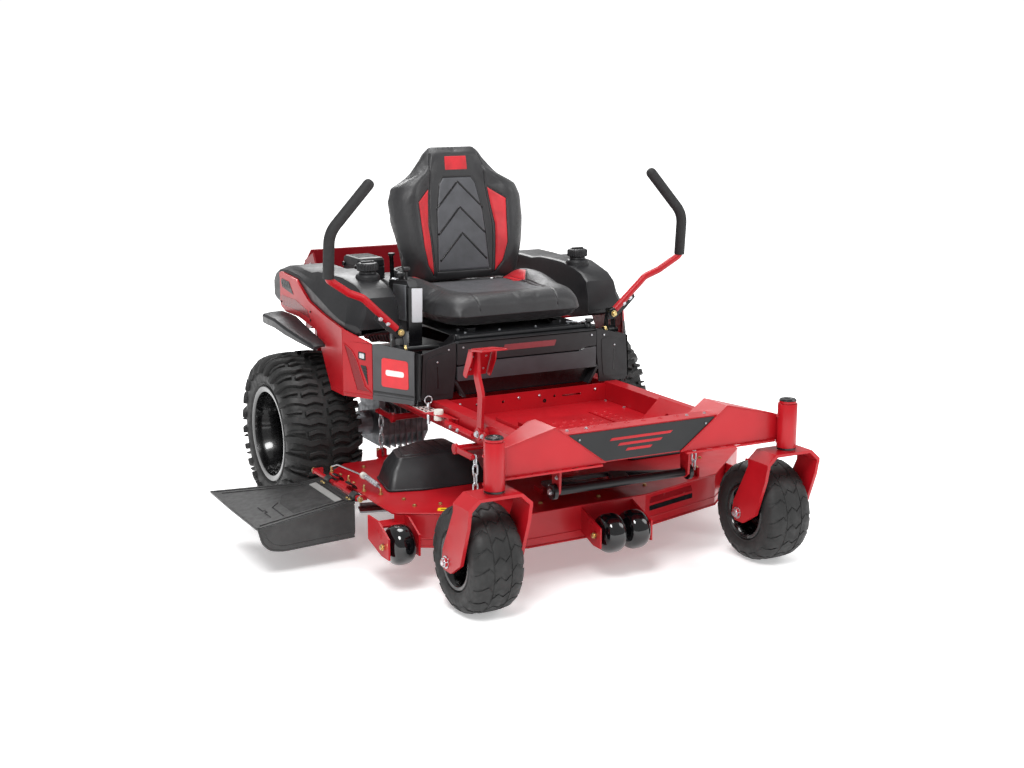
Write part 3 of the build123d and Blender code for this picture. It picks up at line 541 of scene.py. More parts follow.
def apply_modifiers(thing):
    graph = bpy.context.evaluated_depsgraph_get()
    mesh = bpy.data.meshes.new_from_object(thing.evaluated_get(graph), depsgraph=graph)
    thing.modifiers.clear()
    old = thing.data
    thing.data = mesh
    bpy.data.meshes.remove(old)


def subdivide_now(thing, levels):
    smooth = thing.modifiers.new("smooth", "SUBSURF")
    smooth.levels = levels
    apply_modifiers(thing)


def round_edges(thing, width_mm, segments, sharp):
    """Bevel modifier on every edge sharper than the given angle."""
    bevel = thing.modifiers.new("edges", "BEVEL")
    bevel.width = width_mm * MM
    bevel.segments = segments
    bevel.limit_method = "ANGLE"
    bevel.angle_limit = radians(sharp)
    bevel.harden_normals = True


def make_piece(name, shape, body, finishes, bevel_mm=0.0, segments=2, sharp=32, replaces=()):
    """Turn a Shape into an object that rides on a body, with its edges rounded."""
    mesh = bpy.data.meshes.new(name)
    mesh.from_pydata(shape.points, [], shape.faces)
    mesh.validate()
    work = bmesh.new()
    work.from_mesh(mesh)
    bmesh.ops.recalc_face_normals(work, faces=work.faces)
    work.to_mesh(mesh)
    work.free()
    for finish in finishes:
        mesh.materials.append(MATERIALS[finish])
    if len(shape.finish) == len(mesh.polygons):
        mesh.polygons.foreach_set("material_index", shape.finish)
    thing = bpy.data.objects.new(name, mesh)
    bpy.context.scene.collection.objects.link(thing)
    for polygon in mesh.polygons:
        polygon.use_smooth = True
    mesh.set_sharp_from_angle(angle=radians(sharp))
    if bevel_mm:
        round_edges(thing, bevel_mm, segments, sharp)
    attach(thing, body)
    if replaces:
        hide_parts(*replaces)
    return thing


def coat_node(node, finish, bevel_mm):
    """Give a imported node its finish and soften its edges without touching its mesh."""
    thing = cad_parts[node]
    thing.data.materials.clear()
    thing.data.materials.append(MATERIALS[finish])
    weld = thing.modifiers.new("weld", "WELD")
    weld.merge_threshold = 0.02 * MM
    if bevel_mm:
        round_edges(thing, bevel_mm, 2, 30)


# ---- operators ----
COATED_NODES = {
    "powder_coated_steel_red": [
        "front_axle_frame", "right_frame_rail", "left_frame_rail", "rear_frame", "foot_pan", "right_side_panel",
        "left_side_panel", "right_caster_fork", "left_caster_fork", "deck_shell", "lift_pedal", "cut_height_plate",
        "front_lift_shaft", "rear_lift_shaft", "right_drive_lever", "left_drive_lever"],
    "powder_coated_steel_guard": ["engine_guard"],
    "powder_coated_steel_black": [
        "nose_plate", "seat_support", "seat_plate", "front_deck_link", "right_control_arm", "left_control_arm"],
    "moulded_polypropylene_black": [
        "console_front", "right_fuel_tank", "left_fuel_tank", "fender_skirts", "control_console", "right_belt_cover",
        "left_belt_cover", "throttle_lever", "pto_switch", "ignition_key", "right_fuel_cap", "left_fuel_cap",
        "air_cleaner", "engine_shroud"],
    "moulded_polypropylene_grey": ["right_front_cowl", "left_front_cowl"],
    "sand_cast_aluminium": ["engine_block", "engine_pulley", "transaxles"],
    "vulcanised_tyre_rubber": [
        "right_caster_tyre", "left_caster_tyre", "right_drive_tyre", "left_drive_tyre"],
    "enamelled_wheel_black": ["right_caster_rim", "left_caster_rim", "right_drive_rim", "left_drive_rim"],
    "coated_vinyl_black": ["seat_cushion", "seat_back"],
    "moulded_deflector_rubber": ["discharge_deflector"],
    "enamelled_roller_black": ["centre_rollers", "right_roller", "left_roller"],
    "oiled_blade_steel": ["right_blade_spindle", "centre_blade_spindle", "left_blade_spindle"],
    "zinc_plated_steel": ["lift_chains"],
}


class MOWER_OT_stage(bpy.types.Operator):
    """Pale floor, soft studio light and the camera"""

    bl_idname = "mower.stage"
    bl_label = "Stage"

    def execute(self, context):
        floor_mesh = bpy.data.meshes.new("floor")
        reach = 40
        corners = [(-reach, -reach, 0), (reach, -reach, 0), (reach, reach, 0), (-reach, reach, 0)]
        floor_mesh.from_pydata(corners, [], [(0, 1, 2, 3)])
        floor = bpy.data.objects.new("floor", floor_mesh)
        context.scene.collection.objects.link(floor)
        material, tree, shader, place = new_material("seamless_paper_white")
        vary_colour(tree, shader, noise_at(tree, place, 900, 2), linear("#F4F4F4"), linear("#F8F8F8"))
        shader.inputs["Roughness"].default_value = 0.9
        # The paper is lit from behind more strongly the farther it runs, like a sweep up to a bright wall.
        reach_out = add_node(tree, "ShaderNodeVectorMath", links={0: place}, operation="LENGTH")
        glow = add_node(
            tree, "ShaderNodeMapRange", {"From Min": 0.6, "From Max": 4.0, "To Min": 0.3, "To Max": 1.0},
            {"Value": reach_out.outputs["Value"]})
        shader.inputs["Emission Color"].default_value = linear("#FFFFFF")
        tree.links.new(glow.outputs["Result"], shader.inputs["Emission Strength"])
        floor_mesh.materials.append(material)

        world = bpy.data.worlds.new("studio")
        world.use_nodes = True
        background = world.node_tree.nodes["Background"]
        background.inputs["Color"].default_value = linear("#FFFFFF")
        # The wall behind is seen at full white; the light it throws on the machine is softer.
        ray = add_node(world.node_tree, "ShaderNodeLightPath")
        wall = add_node(world.node_tree, "ShaderNodeMapRange", {"To Min": 0.5, "To Max": 1.05},
                        {"Value": ray.outputs["Is Camera Ray"]})
        world.node_tree.links.new(wall.outputs["Result"], background.inputs["Strength"])
        context.scene.world = world

        context.scene.view_settings.view_transform = "Standard"
        middle = at(0, 0, 500)
        lamps = (
            ("key", (-2.6, -3.4, 4.2), 2.0, 230),
            ("fill", (3.6, -2.6, 2.6), 2.4, 60),
            ("top", (0.2, 0.6, 4.6), 2.2, 130),
            ("rim", (1.2, 4.0, 3.0), 2.4, 110),
        )
        for name, offset, size, power in lamps:
            light = bpy.data.lights.new(name, "AREA")
            light.shape = "DISK"
            light.size = size
            light.energy = power
            lamp = bpy.data.objects.new(name, light)
            lamp.location = middle + Vector(offset)
            lamp.rotation_euler = (middle - lamp.location).to_track_quat("-Z", "Y").to_euler()
            context.scene.collection.objects.link(lamp)

        azimuth, elevation, distance = radians(-28.3), radians(12.0), 5.448
        target = at(86.3, 0, 450.2)
        back = Vector((sin(azimuth) * cos(elevation), -cos(azimuth) * cos(elevation), sin(elevation)))
        camera_data = bpy.data.cameras.new("camera")
        camera_data.lens = 53.24
        camera_data.sensor_width = 36
        camera = bpy.data.objects.new("camera", camera_data)
        camera.location = target + back * distance
        camera.rotation_euler = (-back).to_track_quat("-Z", "Y").to_euler()
        context.scene.collection.objects.link(camera)
        context.scene.camera = camera
        return {"FINISHED"}


class MOWER_OT_coat_frame(bpy.types.Operator):
    """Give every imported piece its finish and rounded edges"""

    bl_idname = "mower.coat_frame"
    bl_label = "Packed pieces"

    def execute(self, context):
        make_materials(context.scene.mower_colours)
        edge = context.scene.mower_sizes.edge_round / MM
        for finish, nodes in COATED_NODES.items():
            for node in nodes:
                coat_node(node, finish, edge)
        return {"FINISHED"}


# ---- wheels ----
class TreadProfile:
    """Outer half outline of a tyre as (offset, radius) mm from the crown, walked by arc length."""

    def __init__(self, outline):
        self.outline = outline
        self.marks = [0.0]
        for (x0, r0), (x1, r1) in zip(outline, outline[1:]):
            self.marks.append(self.marks[-1] + hypot(x1 - x0, r1 - r0))

    def place(self, along, lift):
        """Offset and radius at a distance from the crown, lifted off the surface."""
        side = -1 if along < 0 else 1
        along = min(abs(along), self.marks[-1] - 0.01)
        i = max(k for k, mark in enumerate(self.marks[:-1]) if mark <= along)
        (x0, r0), (x1, r1) = self.outline[i], self.outline[i + 1]
        length = self.marks[i + 1] - self.marks[i]
        t = (along - self.marks[i]) / length
        normal = (-(r1 - r0) / length, (x1 - x0) / length)
        return side * (x0 + (x1 - x0) * t + normal[0] * lift), r0 + (r1 - r0) * t + normal[1] * lift


def between(edge, along):
    """Interpolate a list of (s, t) points at s = along."""
    for (s0, t0), (s1, t1) in zip(edge, edge[1:]):
        if along <= s1:
            return t0 + (t1 - t0) * (along - s0) / (s1 - s0)
    return edge[-1][1]


def tread_block(shape, hub, profile, low_edge, high_edge, lift, side, turn, crown_radius):
    """One moulded block wrapped on the tyre: its edges are (s across, t around) in mm."""
    start, end = low_edge[0][0], low_edge[-1][0]
    steps = max(2, int((end - start) / 14))
    draft = 1.6
    points = []
    for i in range(steps + 1):
        along = start + (end - start) * i / steps
        low, high = between(low_edge, along), between(high_edge, along)
        inward = draft if i == 0 else -draft if i == steps else 0
        rings = ((-3, 0, 0), (lift * 0.88, draft * 0.8, inward * 0.6), (lift, draft * 1.8, inward))
        for height, shrink, shift in rings:
            for around in (low + shrink, high - shrink):
                offset, radius = profile.place(side * (along + shift), height)
                angle = turn + around / crown_radius
                points.append(hub + Vector((offset * MM, sin(angle) * radius * MM, cos(angle) * radius * MM)))
    faces = []
    for i in range(steps):
        a, b = i * 6, (i + 1) * 6
        faces += [[a + 4, a + 5, b + 5, b + 4], [a, a + 2, b + 2, b], [a + 2, a + 4, b + 4, b + 2],
                  [a + 1, b + 1, b + 3, a + 3], [a + 3, b + 3, b + 5, a + 5]]
    last = steps * 6
    faces += [[0, 1, 3, 2], [2, 3, 5, 4], [last, last + 2, last + 3, last + 1],
              [last + 2, last + 4, last + 5, last + 3]]
    shape.add(points, faces)


def mirrored_outline(outline):
    """Closed (offset, radius) loop from one half outline."""
    return [(-x, r) for x, r in reversed(outline)] + outline[1:]


# Lug edges as (across the tread, round it) in mm, drawn for a pitch of 77 mm, with the share of full height.
LUG_PITCH = 77
DRIVE_LUGS = (
    ([(5, 2), (34, 13), (66, 6), (98, 20), (128, 26), (158, 30)],
     [(5, 27), (34, 37), (66, 31), (98, 46), (128, 54), (158, 56)], 1.0),
    ([(14, 45), (40, 54), (74, 44)], [(14, 60), (40, 70), (74, 62)], 0.94),
    ([(84, 57), (112, 62), (136, 66)], [(84, 70), (112, 74), (136, 75)], 0.9),
)
CASTER_PITCHES = 18
CASTER_BLOCK_HEIGHT = 3.0
CASTER_BLOCKS = (
    ([(-27, 2), (-10, 20), (8, 4), (27, 22)], [(-27, 54), (-10, 72), (8, 56), (27, 74)], 1.0),
    ([(29, 4), (46, 22), (64, 6), (88, 14)], [(29, 56), (46, 74), (64, 58), (88, 50)], 1.0),
)


def tyre_size(node):
    """Centre of a packed tyre, with half its width and its radius in mm."""
    low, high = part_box(node)
    return (low + high) / 2, (high.x - low.x) / 2 / MM, (high.z - low.z) / 2 / MM


def build_drive_tyre(name, lug_height, pitches):
    """Turf drive tyre: hooked lugs on both halves, half a pitch apart."""
    hub, half, outer = tyre_size(f"{name}_drive_tyre")
    lug = lug_height / MM
    crown = outer - lug
    outline = [
        (0, crown), (half - 82, crown - 1), (half - 42, crown - 6), (half - 20, crown - 15), (half - 8, crown - 31),
        (half - 2, crown - 51), (half - 0.5, crown - 63), (half - 2, crown - 75), (half - 5, crown - 84),
        (half - 3.5, crown - 87), (half - 7, crown - 92), (half - 14, crown - 97), (half - 14, crown - 110),
        (half - 18, crown - 118),
    ]
    profile = TreadProfile(outline[:8])
    shape = Shape()
    shape.lathe(mirrored_outline(outline), hub, LEFTWARD, 120)
    for pitch in range(pitches):
        for side in (-1, 1):
            turn = 2 * pi * (pitch + (0.5 if side > 0 else 0)) / pitches
            stretch = 2 * pi * crown / pitches / LUG_PITCH
            for low_edge, high_edge, share in DRIVE_LUGS:
                low_line = [(s, t * stretch) for s, t in low_edge]
                high_line = [(s, t * stretch) for s, t in high_edge]
                tread_block(shape, hub, profile, low_line, high_line, lug * share, side, turn, crown)
    make_piece(f"{name}_drive_tyre_treaded", shape, f"{name}_drive_wheel", ["vulcanised_tyre_rubber"],
               sharp=38, replaces=(f"{name}_drive_tyre",))


def build_caster_tyre(name):
    """Caster tyre with zigzag blocks down the middle and along both shoulders."""
    hub, half, outer = tyre_size(f"{name}_caster_tyre")
    crown = outer - 4.5
    outline = [
        (0, crown), (half - 42, crown - 1), (half - 24, crown - 5), (half - 10, crown - 14), (half - 3, crown - 27),
        (half - 0.5, crown - 42), (half - 1.5, crown - 56), (half - 5, crown - 64), (half - 4, crown - 66),
        (half - 9, crown - 69), (half - 14, crown - 71), (half - 14, crown - 79), (half - 17, crown - 82),
    ]
    profile = TreadProfile(outline[:6])
    shape = Shape()
    shape.lathe(mirrored_outline(outline), hub, LEFTWARD, 96)
    for pitch in range(CASTER_PITCHES):
        for index, (low_edge, high_edge, share) in enumerate(CASTER_BLOCKS):
            for side in ((1,) if index == 0 else (-1, 1)):
                turn = 2 * pi * (pitch + (0.5 if index == 1 else 0)) / CASTER_PITCHES
                tread_block(shape, hub, profile, low_edge, high_edge, CASTER_BLOCK_HEIGHT * share, side, turn,
                            crown)
    make_piece(f"{name}_caster_tyre_treaded", shape, f"{name}_caster_wheel", ["vulcanised_tyre_rubber"],
               sharp=38, replaces=(f"{name}_caster_tyre",))


def build_drive_rim(name, side):
    """Deep-dish pressed wheel with a rolled lip, a stepped barrel and five nuts."""
    hub, half, _ = tyre_size(f"{name}_drive_tyre")
    barrel = [
        (half - 11, 171), (half - 8, 172), (half - 5.5, 169), (half - 6, 160), (half - 9, 151), (half - 26, 147),
        (half - 40, 147), (half - 52, 139), (0, 137), (-half + 78, 137), (-half + 71, 130), (-half + 66, 100),
        (-half + 70, 92), (-half + 66, 80), (-half + 54, 74), (-half + 51, 66), (-half + 51, 30), (-half + 62, 27),
        (-half + 62, 22), (-half + 48, 22), (-half + 46, 70), (-half + 50, 79), (-half + 60, 86), (-half + 60, 134),
        (-half + 66, 142), (-half + 30, 148), (-half + 14, 151.5), (-half + 10, 168), (-half + 13.5, 171),
        (-half + 13.6, 152), (half - 13.6, 152), (half - 13.6, 170),
    ]
    shape = Shape()
    shape.lathe([(side * x, r) for x, r in barrel], hub, LEFTWARD, 96)
    face = (-half + 51) * side
    for k in range(5):
        angle = 2 * pi * k / 5 + 0.3
        seat = hub + Vector((face * MM, 0.05 * sin(angle), 0.05 * cos(angle)))
        shape.bolt(seat, (side, 0, 0), 12, 1)
    shape.lathe([(face, 0.1), (face + side * 30, 0.1), (face + side * 30, 18), (face + side * 26, 21), (face, 21)],
                hub, LEFTWARD, 32, 2)
    valve = hub + Vector((side * (half - 34) * MM, 0.128, 0.045))
    stem = [valve, valve + Vector((side * 0.014, -0.006, -0.002)), valve + Vector((side * 0.03, -0.014, -0.005))]
    shape.tube(stem, [4.5, 4.2, 3.2], 12, 3)
    make_piece(f"{name}_drive_rim_dished", shape, f"{name}_drive_wheel",
               ["enamelled_wheel_black", "yellow_zinc_steel", "sand_cast_aluminium", "vulcanised_tyre_rubber"],
               bevel_mm=0.8, sharp=34, replaces=(f"{name}_drive_rim",))


def build_caster_rim(name):
    """Pressed caster wheel with a hub tube, four bolts a side and a valve."""
    hub, half, _ = tyre_size(f"{name}_caster_tyre")
    shape = Shape()
    barrel = [
        (-half + 10, 88), (-half + 7, 89.5), (-half + 5, 87), (-half + 7, 79), (-half + 14, 74), (-half + 30, 70),
        (-14, 62), (-10, 44), (-16, 34), (-30, 29), (-84, 27), (-86, 20), (-86, 10.2), (86, 10.2), (86, 20),
        (84, 27), (30, 29), (16, 34), (10, 44), (14, 62), (half - 30, 70), (half - 14, 74), (half - 7, 79),
        (half - 5, 87), (half - 7, 89.5), (half - 10, 88), (half - 13.5, 79), (-half + 13.5, 79),
    ]
    shape.lathe(barrel, hub, LEFTWARD, 72)
    for side in (-1, 1):
        for k in range(4):
            angle = pi * k / 2 + 0.4
            seat = hub + Vector((side * 14 * MM, 0.047 * sin(angle), 0.047 * cos(angle)))
            shape.bolt(seat, (side, 0, 0), 7, 1)
    valve = hub + Vector((-(half - 26) * MM, 0.062, 0.026))
    shape.tube([valve, valve + Vector((-0.012, -0.004, -0.002)), valve + Vector((-0.024, -0.009, -0.004))],
               [4.2, 4, 3], 10, 2)
    make_piece(f"{name}_caster_rim_pressed", shape, f"{name}_caster_wheel",
               ["enamelled_wheel_black", "zinc_plated_steel", "vulcanised_tyre_rubber"],
               bevel_mm=0.6, sharp=34, replaces=(f"{name}_caster_rim",))


class MOWER_OT_drive_wheels(bpy.types.Operator):
    """Treaded drive tyres on deep-dish wheels"""

    bl_idname = "mower.drive_wheels"
    bl_label = "Drive wheels"

    def execute(self, context):
        sizes = context.scene.mower_sizes
        for name, side in SIDES.items():
            build_drive_tyre(name, sizes.lug_height, sizes.lug_pitches)
            build_drive_rim(name, side)
        return {"FINISHED"}


class MOWER_OT_caster_wheels(bpy.types.Operator):
    """Block-treaded caster tyres on pressed wheels"""

    bl_idname = "mower.caster_wheels"
    bl_label = "Caster wheels"

    def execute(self, context):
        for name in SIDES:
            build_caster_tyre(name)
            build_caster_rim(name)
        return {"FINISHED"}


# ---- seat ----
SEAT_LEAN = radians(9.3)
BACK_ROOT = (232, 800)


def back_point(x, height, depth):
    """Point of the seat back: height runs up the leaning panel, depth stands out in front of it."""
    root_y, root_z = BACK_ROOT
    return at(x, root_y + height * sin(SEAT_LEAN) - depth * cos(SEAT_LEAN),
              root_z + height * cos(SEAT_LEAN) + depth * sin(SEAT_LEAN))


def smooth_step(low, high, value):
    t = min(1, max(0, (value - low) / (high - low)))
    return t * t * (3 - 2 * t)


BACK_OUTLINE = [
    (0, 222), (40, 234), (110, 246), (220, 266), (300, 268), (350, 252), (400, 180), (452, 132), (480, 110),
    (498, 88),
]
CUSHION_Z = 745
CUSHION_OUTLINE = [(-226, 226), (-196, 256), (-120, 282), (0, 294), (130, 298), (200, 292), (250, 270)]


def grid_faces(rows, columns):
    return [[r * columns + c, r * columns + c + 1, (r + 1) * columns + c + 1, (r + 1) * columns + c]
            for r in range(rows - 1) for c in range(columns - 1)]


def pillow(rows, columns, front_point, back_point_at):
    """Closed form of two grids that share their rim: front_point and back_point_at take (u, v) in -1..1."""
    shape = Shape()
    points, faces = [], []
    for maker in (front_point, back_point_at):
        points += [maker(-1 + 2 * c / (columns - 1), -1 + 2 * r / (rows - 1))
                   for r in range(rows) for c in range(columns)]
    half = rows * columns
    faces += grid_faces(rows, columns)
    faces += [[half + i for i in face][::-1] for face in grid_faces(rows, columns)]
    rim = list(range(columns))
    rim += [r * columns + columns - 1 for r in range(1, rows)]
    rim += [(rows - 1) * columns + c for c in range(columns - 2, -1, -1)]
    rim += [r * columns for r in range(rows - 2, 0, -1)]
    for i, here in enumerate(rim):
        there = rim[(i + 1) % len(rim)]
        faces.append([here, half + here, half + there, there])
    shape.add(points, faces)
    return shape


def back_surface(u, v, front):
    """Seat back shape: a dished centre between two bolsters, crowned to a thinner rim."""
    top = BACK_OUTLINE[-1][0]
    height = top * (v + 1) / 2
    width = between(BACK_OUTLINE, height)
    rim = 1 - abs(u) ** 6
    rim *= 1 - smooth_step(0.86, 1.0, v) ** 2 * 0.75
    rim *= 1 - smooth_step(0.93, 1.0, -v) * 0.35
    if front:
        bolster = smooth_step(0.42, 0.74, abs(u)) * (1 - smooth_step(0.25, 0.8, v)) * 52
        bolster *= smooth_step(-1.3, -0.4, v)
        lumbar = 12 * cos(u * pi / 2) * (1 - abs(v + 0.35))
        depth = (22 + bolster + lumbar) * rim ** 0.6
    else:
        depth = -46 * (rim ** 0.5)
    return back_point(u * width, height, depth)


def cushion_surface(u, v, top):
    """Cushion shape: side bolsters, a waterfall front and a shallow dish where the driver sits."""
    low, high = CUSHION_OUTLINE[0][0], CUSHION_OUTLINE[-1][0]
    y = low + (high - low) * (v + 1) / 2
    width = between(CUSHION_OUTLINE, y)
    x = u * width
    rim = (1 - abs(u) ** 8) ** 0.5 * (1 - abs(min(v, 0)) ** 7) ** 0.5 * (1 - max(v, 0) ** 10) ** 0.5
    if top:
        bolster = smooth_step(0.48, 0.84, abs(u)) * smooth_step(-0.9, 0.5, v) * 40
        lip = 8 * smooth_step(-0.2, -0.8, v)
        return at(x, y, CUSHION_Z + (63 + bolster + lip - 10 * cos(u * pi / 2) * (1 - abs(v))) * rim)
    return at(x * 0.95, y * 0.97, CUSHION_Z - 33 * rim)


def puff(thing, pressure, cap_mm, voxel=0.0055, frames=20):
    """Inflate a cover by cloth simulation, cap how far it moves, and keep the result in its mesh."""
    remesh = thing.modifiers.new("voxels", "REMESH")
    remesh.mode = "VOXEL"
    remesh.voxel_size = voxel
    apply_modifiers(thing)
    rest = [vertex.co.copy() for vertex in thing.data.vertices]
    cloth = thing.modifiers.new("cloth", "CLOTH")
    cloth.settings.use_pressure = True
    cloth.settings.uniform_pressure_force = pressure
    cloth.settings.effector_weights.gravity = 0
    cloth.settings.quality = 4
    cloth.settings.tension_stiffness = 18
    cloth.settings.compression_stiffness = 18
    cloth.settings.bending_stiffness = 1.5
    cloth.point_cache.frame_start = 1
    cloth.point_cache.frame_end = frames
    for step in range(1, frames + 1):
        bpy.context.scene.frame_set(step)
    apply_modifiers(thing)
    for vertex, start in zip(thing.data.vertices, rest):
        shift = vertex.co - start
        if shift.length > cap_mm * MM:
            vertex.co = start + shift.normalized() * (cap_mm * MM)
    bpy.context.scene.frame_set(1)


def distance_to_line(u, v, start, end):
    """Distance in mm from (u, v) to a segment."""
    along = Vector((end[0] - start[0], end[1] - start[1]))
    here = Vector((u - start[0], v - start[1]))
    t = min(1, max(0, here.dot(along) / max(1e-6, along.length_squared)))
    return (here - along * t).length


def inside(outline, u, v):
    """Even-odd test of a point against a closed outline."""
    hit = False
    for (u0, v0), (u1, v1) in zip(outline, outline[1:] + outline[:1]):
        if (v0 > v) != (v1 > v) and u < u0 + (u1 - u0) * (v - v0) / (v1 - v0):
            hit = not hit
    return hit


def closed_lines(outline):
    return list(zip(outline, outline[1:] + outline[:1]))


def mirrored(outline):
    return [(-u, v) for u, v in outline]


def press_seams(thing, flatten, seams, panels, depth_mm=3.5, width_mm=5.5):
    """Sink sewn lines into a cover and give each panel its own vinyl."""
    mesh = thing.data
    for vertex in mesh.vertices:
        u, v, outward = flatten(vertex.co)
        if outward is None:
            continue
        near = min((distance_to_line(u, v, *line) for line in seams), default=99)
        if near < width_mm * 2:
            vertex.co -= outward * (depth_mm * MM * (1 - smooth_step(0, width_mm, near)))
    for polygon in mesh.polygons:
        u, v, outward = flatten(polygon.center)
        polygon.use_smooth = True
        if outward is None or polygon.normal.dot(outward) < 0.1:
            continue
        for index, outline in panels:
            if inside(outline, u, v):
                polygon.material_index = index


def sew(thing, flatten, centre, insert, border):
    """Sew a centre panel, two inserts and two border lines into a cover; returns the lines for piping."""
    seams = closed_lines(centre) + closed_lines(insert) + closed_lines(mirrored(insert))
    for line in (border, mirrored(border)):
        seams += list(zip(line, line[1:]))
    press_seams(thing, flatten, seams, [(1, centre), (2, insert), (2, mirrored(insert))])
    return [centre + centre[:1], border, mirrored(border),
            insert + insert[:1], mirrored(insert) + mirrored(insert[:1])]


def build_cover(node, shape, quick, cap_mm):
    """Turn a pillow into a padded vinyl cover that has settled under cloth pressure."""
    thing = make_piece(
        f"{node}_cover", shape, "seat", ["coated_vinyl_black", "coated_vinyl_grey", "coated_vinyl_red"],
        sharp=180, replaces=(node,))
    if quick:
        subdivide_now(thing, 2)
    else:
        puff(thing, 3.5, cap_mm)
        subdivide_now(thing, 1)
    return thing


BACK_CENTRE = [(-104, 40), (104, 40), (92, 250), (72, 352), (56, 376), (-56, 376), (-72, 352), (-92, 250)]
BACK_FACE = [(-114, 24), (-126, 200), (-112, 338), (-106, 420), (-96, 462)]
BACK_INSERT = [(122, 26), (150, 64), (168, 130), (176, 290), (118, 338), (134, 200)]


def drape(thing, shape, lines, to_point, toward, radius, finish):
    """Lay cord along lines of (u, v) points, pressed half into the surface of a finished cover."""
    tree = BVHTree.FromPolygons([v.co for v in thing.data.vertices], [p.vertices for p in thing.data.polygons])
    for line in lines:
        route = []
        for (u0, v0), (u1, v1) in zip(line, line[1:]):
            steps = max(2, int(hypot(u1 - u0, v1 - v0) / 9))
            route += [(u0 + (u1 - u0) * k / steps, v0 + (v1 - v0) * k / steps) for k in range(steps)]
        route.append(line[-1])
        hits = []
        for u, v in route:
            spot = tree.ray_cast(to_point(u, v, 200), toward)[0]
            if spot:
                hits.append(spot + toward * (radius * 0.45 * MM))
        if len(hits) > 2:
            shape.tube(hits, radius, 8, finish)


def build_seat_back(quick):
    """Seat back cover with three chevron cords and piping along its seams."""
    shape = pillow(44, 40, lambda u, v: back_surface(u, v, True), lambda u, v: back_surface(u, v, False))
    thing = build_cover("seat_back", shape, quick, 9)
    outward = Vector((0, -cos(SEAT_LEAN), sin(SEAT_LEAN)))
    upward = Vector((0, sin(SEAT_LEAN), cos(SEAT_LEAN)))
    root = at(0, *BACK_ROOT)

    def flatten(point):
        step = point - root
        if step.dot(outward) < 0:
            return 0, 0, None
        return step.x / MM, step.dot(upward) / MM, outward

    edges = sew(thing, flatten, BACK_CENTRE, BACK_INSERT, BACK_FACE)
    cords = Shape()
    chevrons = [[(-94, 76 + rise), (0, 174 + rise), (94, 76 + rise)] for rise in (0, 94, 186)]
    drape(thing, cords, chevrons, back_point, -outward, 4.4, 0)
    drape(thing, cords, edges, back_point, -outward, 1.8, 0)
    make_piece("seat_back_cords", cords, "seat", ["moulded_nylon_gloss"], sharp=180)


CUSHION_CENTRE = [(-150, -120), (150, -120), (164, 40), (150, 176), (-150, 176), (-164, 40)]
CUSHION_INSERT = [(150, 96), (178, 70), (226, 150), (214, 214), (150, 196)]
CUSHION_BOLSTER = [(-150, -214), (-158, -150), (-176, 20), (-168, 190)]


def build_seat_cushion(quick):
    """Cushion cover with piping along its seams."""
    shape = pillow(40, 44, lambda u, v: cushion_surface(u, v, True), lambda u, v: cushion_surface(u, v, False))
    thing = build_cover("seat_cushion", shape, quick, 5)
    middle = at(0, 0, CUSHION_Z)

    def flatten(point):
        step = point - middle
        if step.z < 0:
            return 0, 0, None
        return step.x / MM, step.y / MM, Vector((0, 0, 1))

    edges = sew(thing, flatten, CUSHION_CENTRE, CUSHION_INSERT, CUSHION_BOLSTER)
    cords = Shape()
    drape(thing, cords, edges, lambda u, v, w: at(u, v, CUSHION_Z + w), Vector((0, 0, -1)), 1.8, 0)
    make_piece("seat_cushion_cords", cords, "seat", ["moulded_nylon_gloss"], sharp=180)


class MOWER_OT_seat(bpy.types.Operator):
    """Sewn vinyl seat back and cushion, inflated by cloth simulation"""

    bl_idname = "mower.seat"
    bl_label = "Seat"

    def execute(self, context):
        build_seat_back(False)
        build_seat_cushion(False)
        tag = Shape()
        tag.prism([(-45, 402), (45, 402), (43, 452), (-43, 452)], 24, 32, back_point)
        make_piece("seat_badge_plain", tag, "seat", ["coated_vinyl_red"], bevel_mm=3, segments=3)
        return {"FINISHED"}


# ---- drive levers ----
LEVER_ROUTE = [(428, -143, 716), (548, -152, 829), (600, -160, 850), (677, -178, 901), (678, -181, 925)]
GRIP_ROUTE = [(677, -178, 908), (676, -191, 1051), (540, -195, 1200)]


def build_lever(name, side, grip_radius):
    """Bent lever bar with a foam grip, bolted to the plate of its folding bracket."""
    def route(points):
        return [at(side * x, y, z) for x, y, z in points]

    shape = Shape()
    bar = arc_route(route(LEVER_ROUTE), 46)
    shape.tube(bar, 12.5, 20)
    grip = arc_route(route(GRIP_ROUTE), 95, 12)
    thick = grip_radius / MM
    start, end = grip[0], grip[-1]
    tip_way = (end - grip[-2]).normalized()
    heel_way = (start - grip[1]).normalized()
    grip = [start + heel_way * 0.004, start + heel_way * 0.003] + grip
    radii = [thick - 4, thick - 0.8] + [thick] * (len(grip) - 2)
    for reach, radius in ((0.006, thick - 0.8), (0.012, thick - 3.5), (0.016, thick - 8), (0.018, 3)):
        grip.append(end + tip_way * reach)
        radii.append(radius)
    shape.tube(grip, radii, 24, 1)
    centre = (side * 416, 704)
    plate = [(centre[0] + side * dx, centre[1] + dz) for dx, dz in (
        (-19, -4), (-14, -16), (0, -20), (14, -15), (52, 14), (92, 52), (86, 66), (74, 68), (20, 26), (-12, 14))]
    shape.slab_y(plate, -150.4, -146, 2)
    for dx, dz in ((0, 0), (44, 34), (70, 52)):
        shape.bolt(at(centre[0] + side * dx, -150.4, centre[1] + dz), FORWARD, 8, 3)
    make_piece(f"{name}_drive_lever_bar", shape, f"{name}_lever",
               ["powder_coated_steel_red", "closed_cell_foam_black", "powder_coated_steel_black",
                "zinc_plated_steel"], sharp=40, replaces=(f"{name}_drive_lever",))


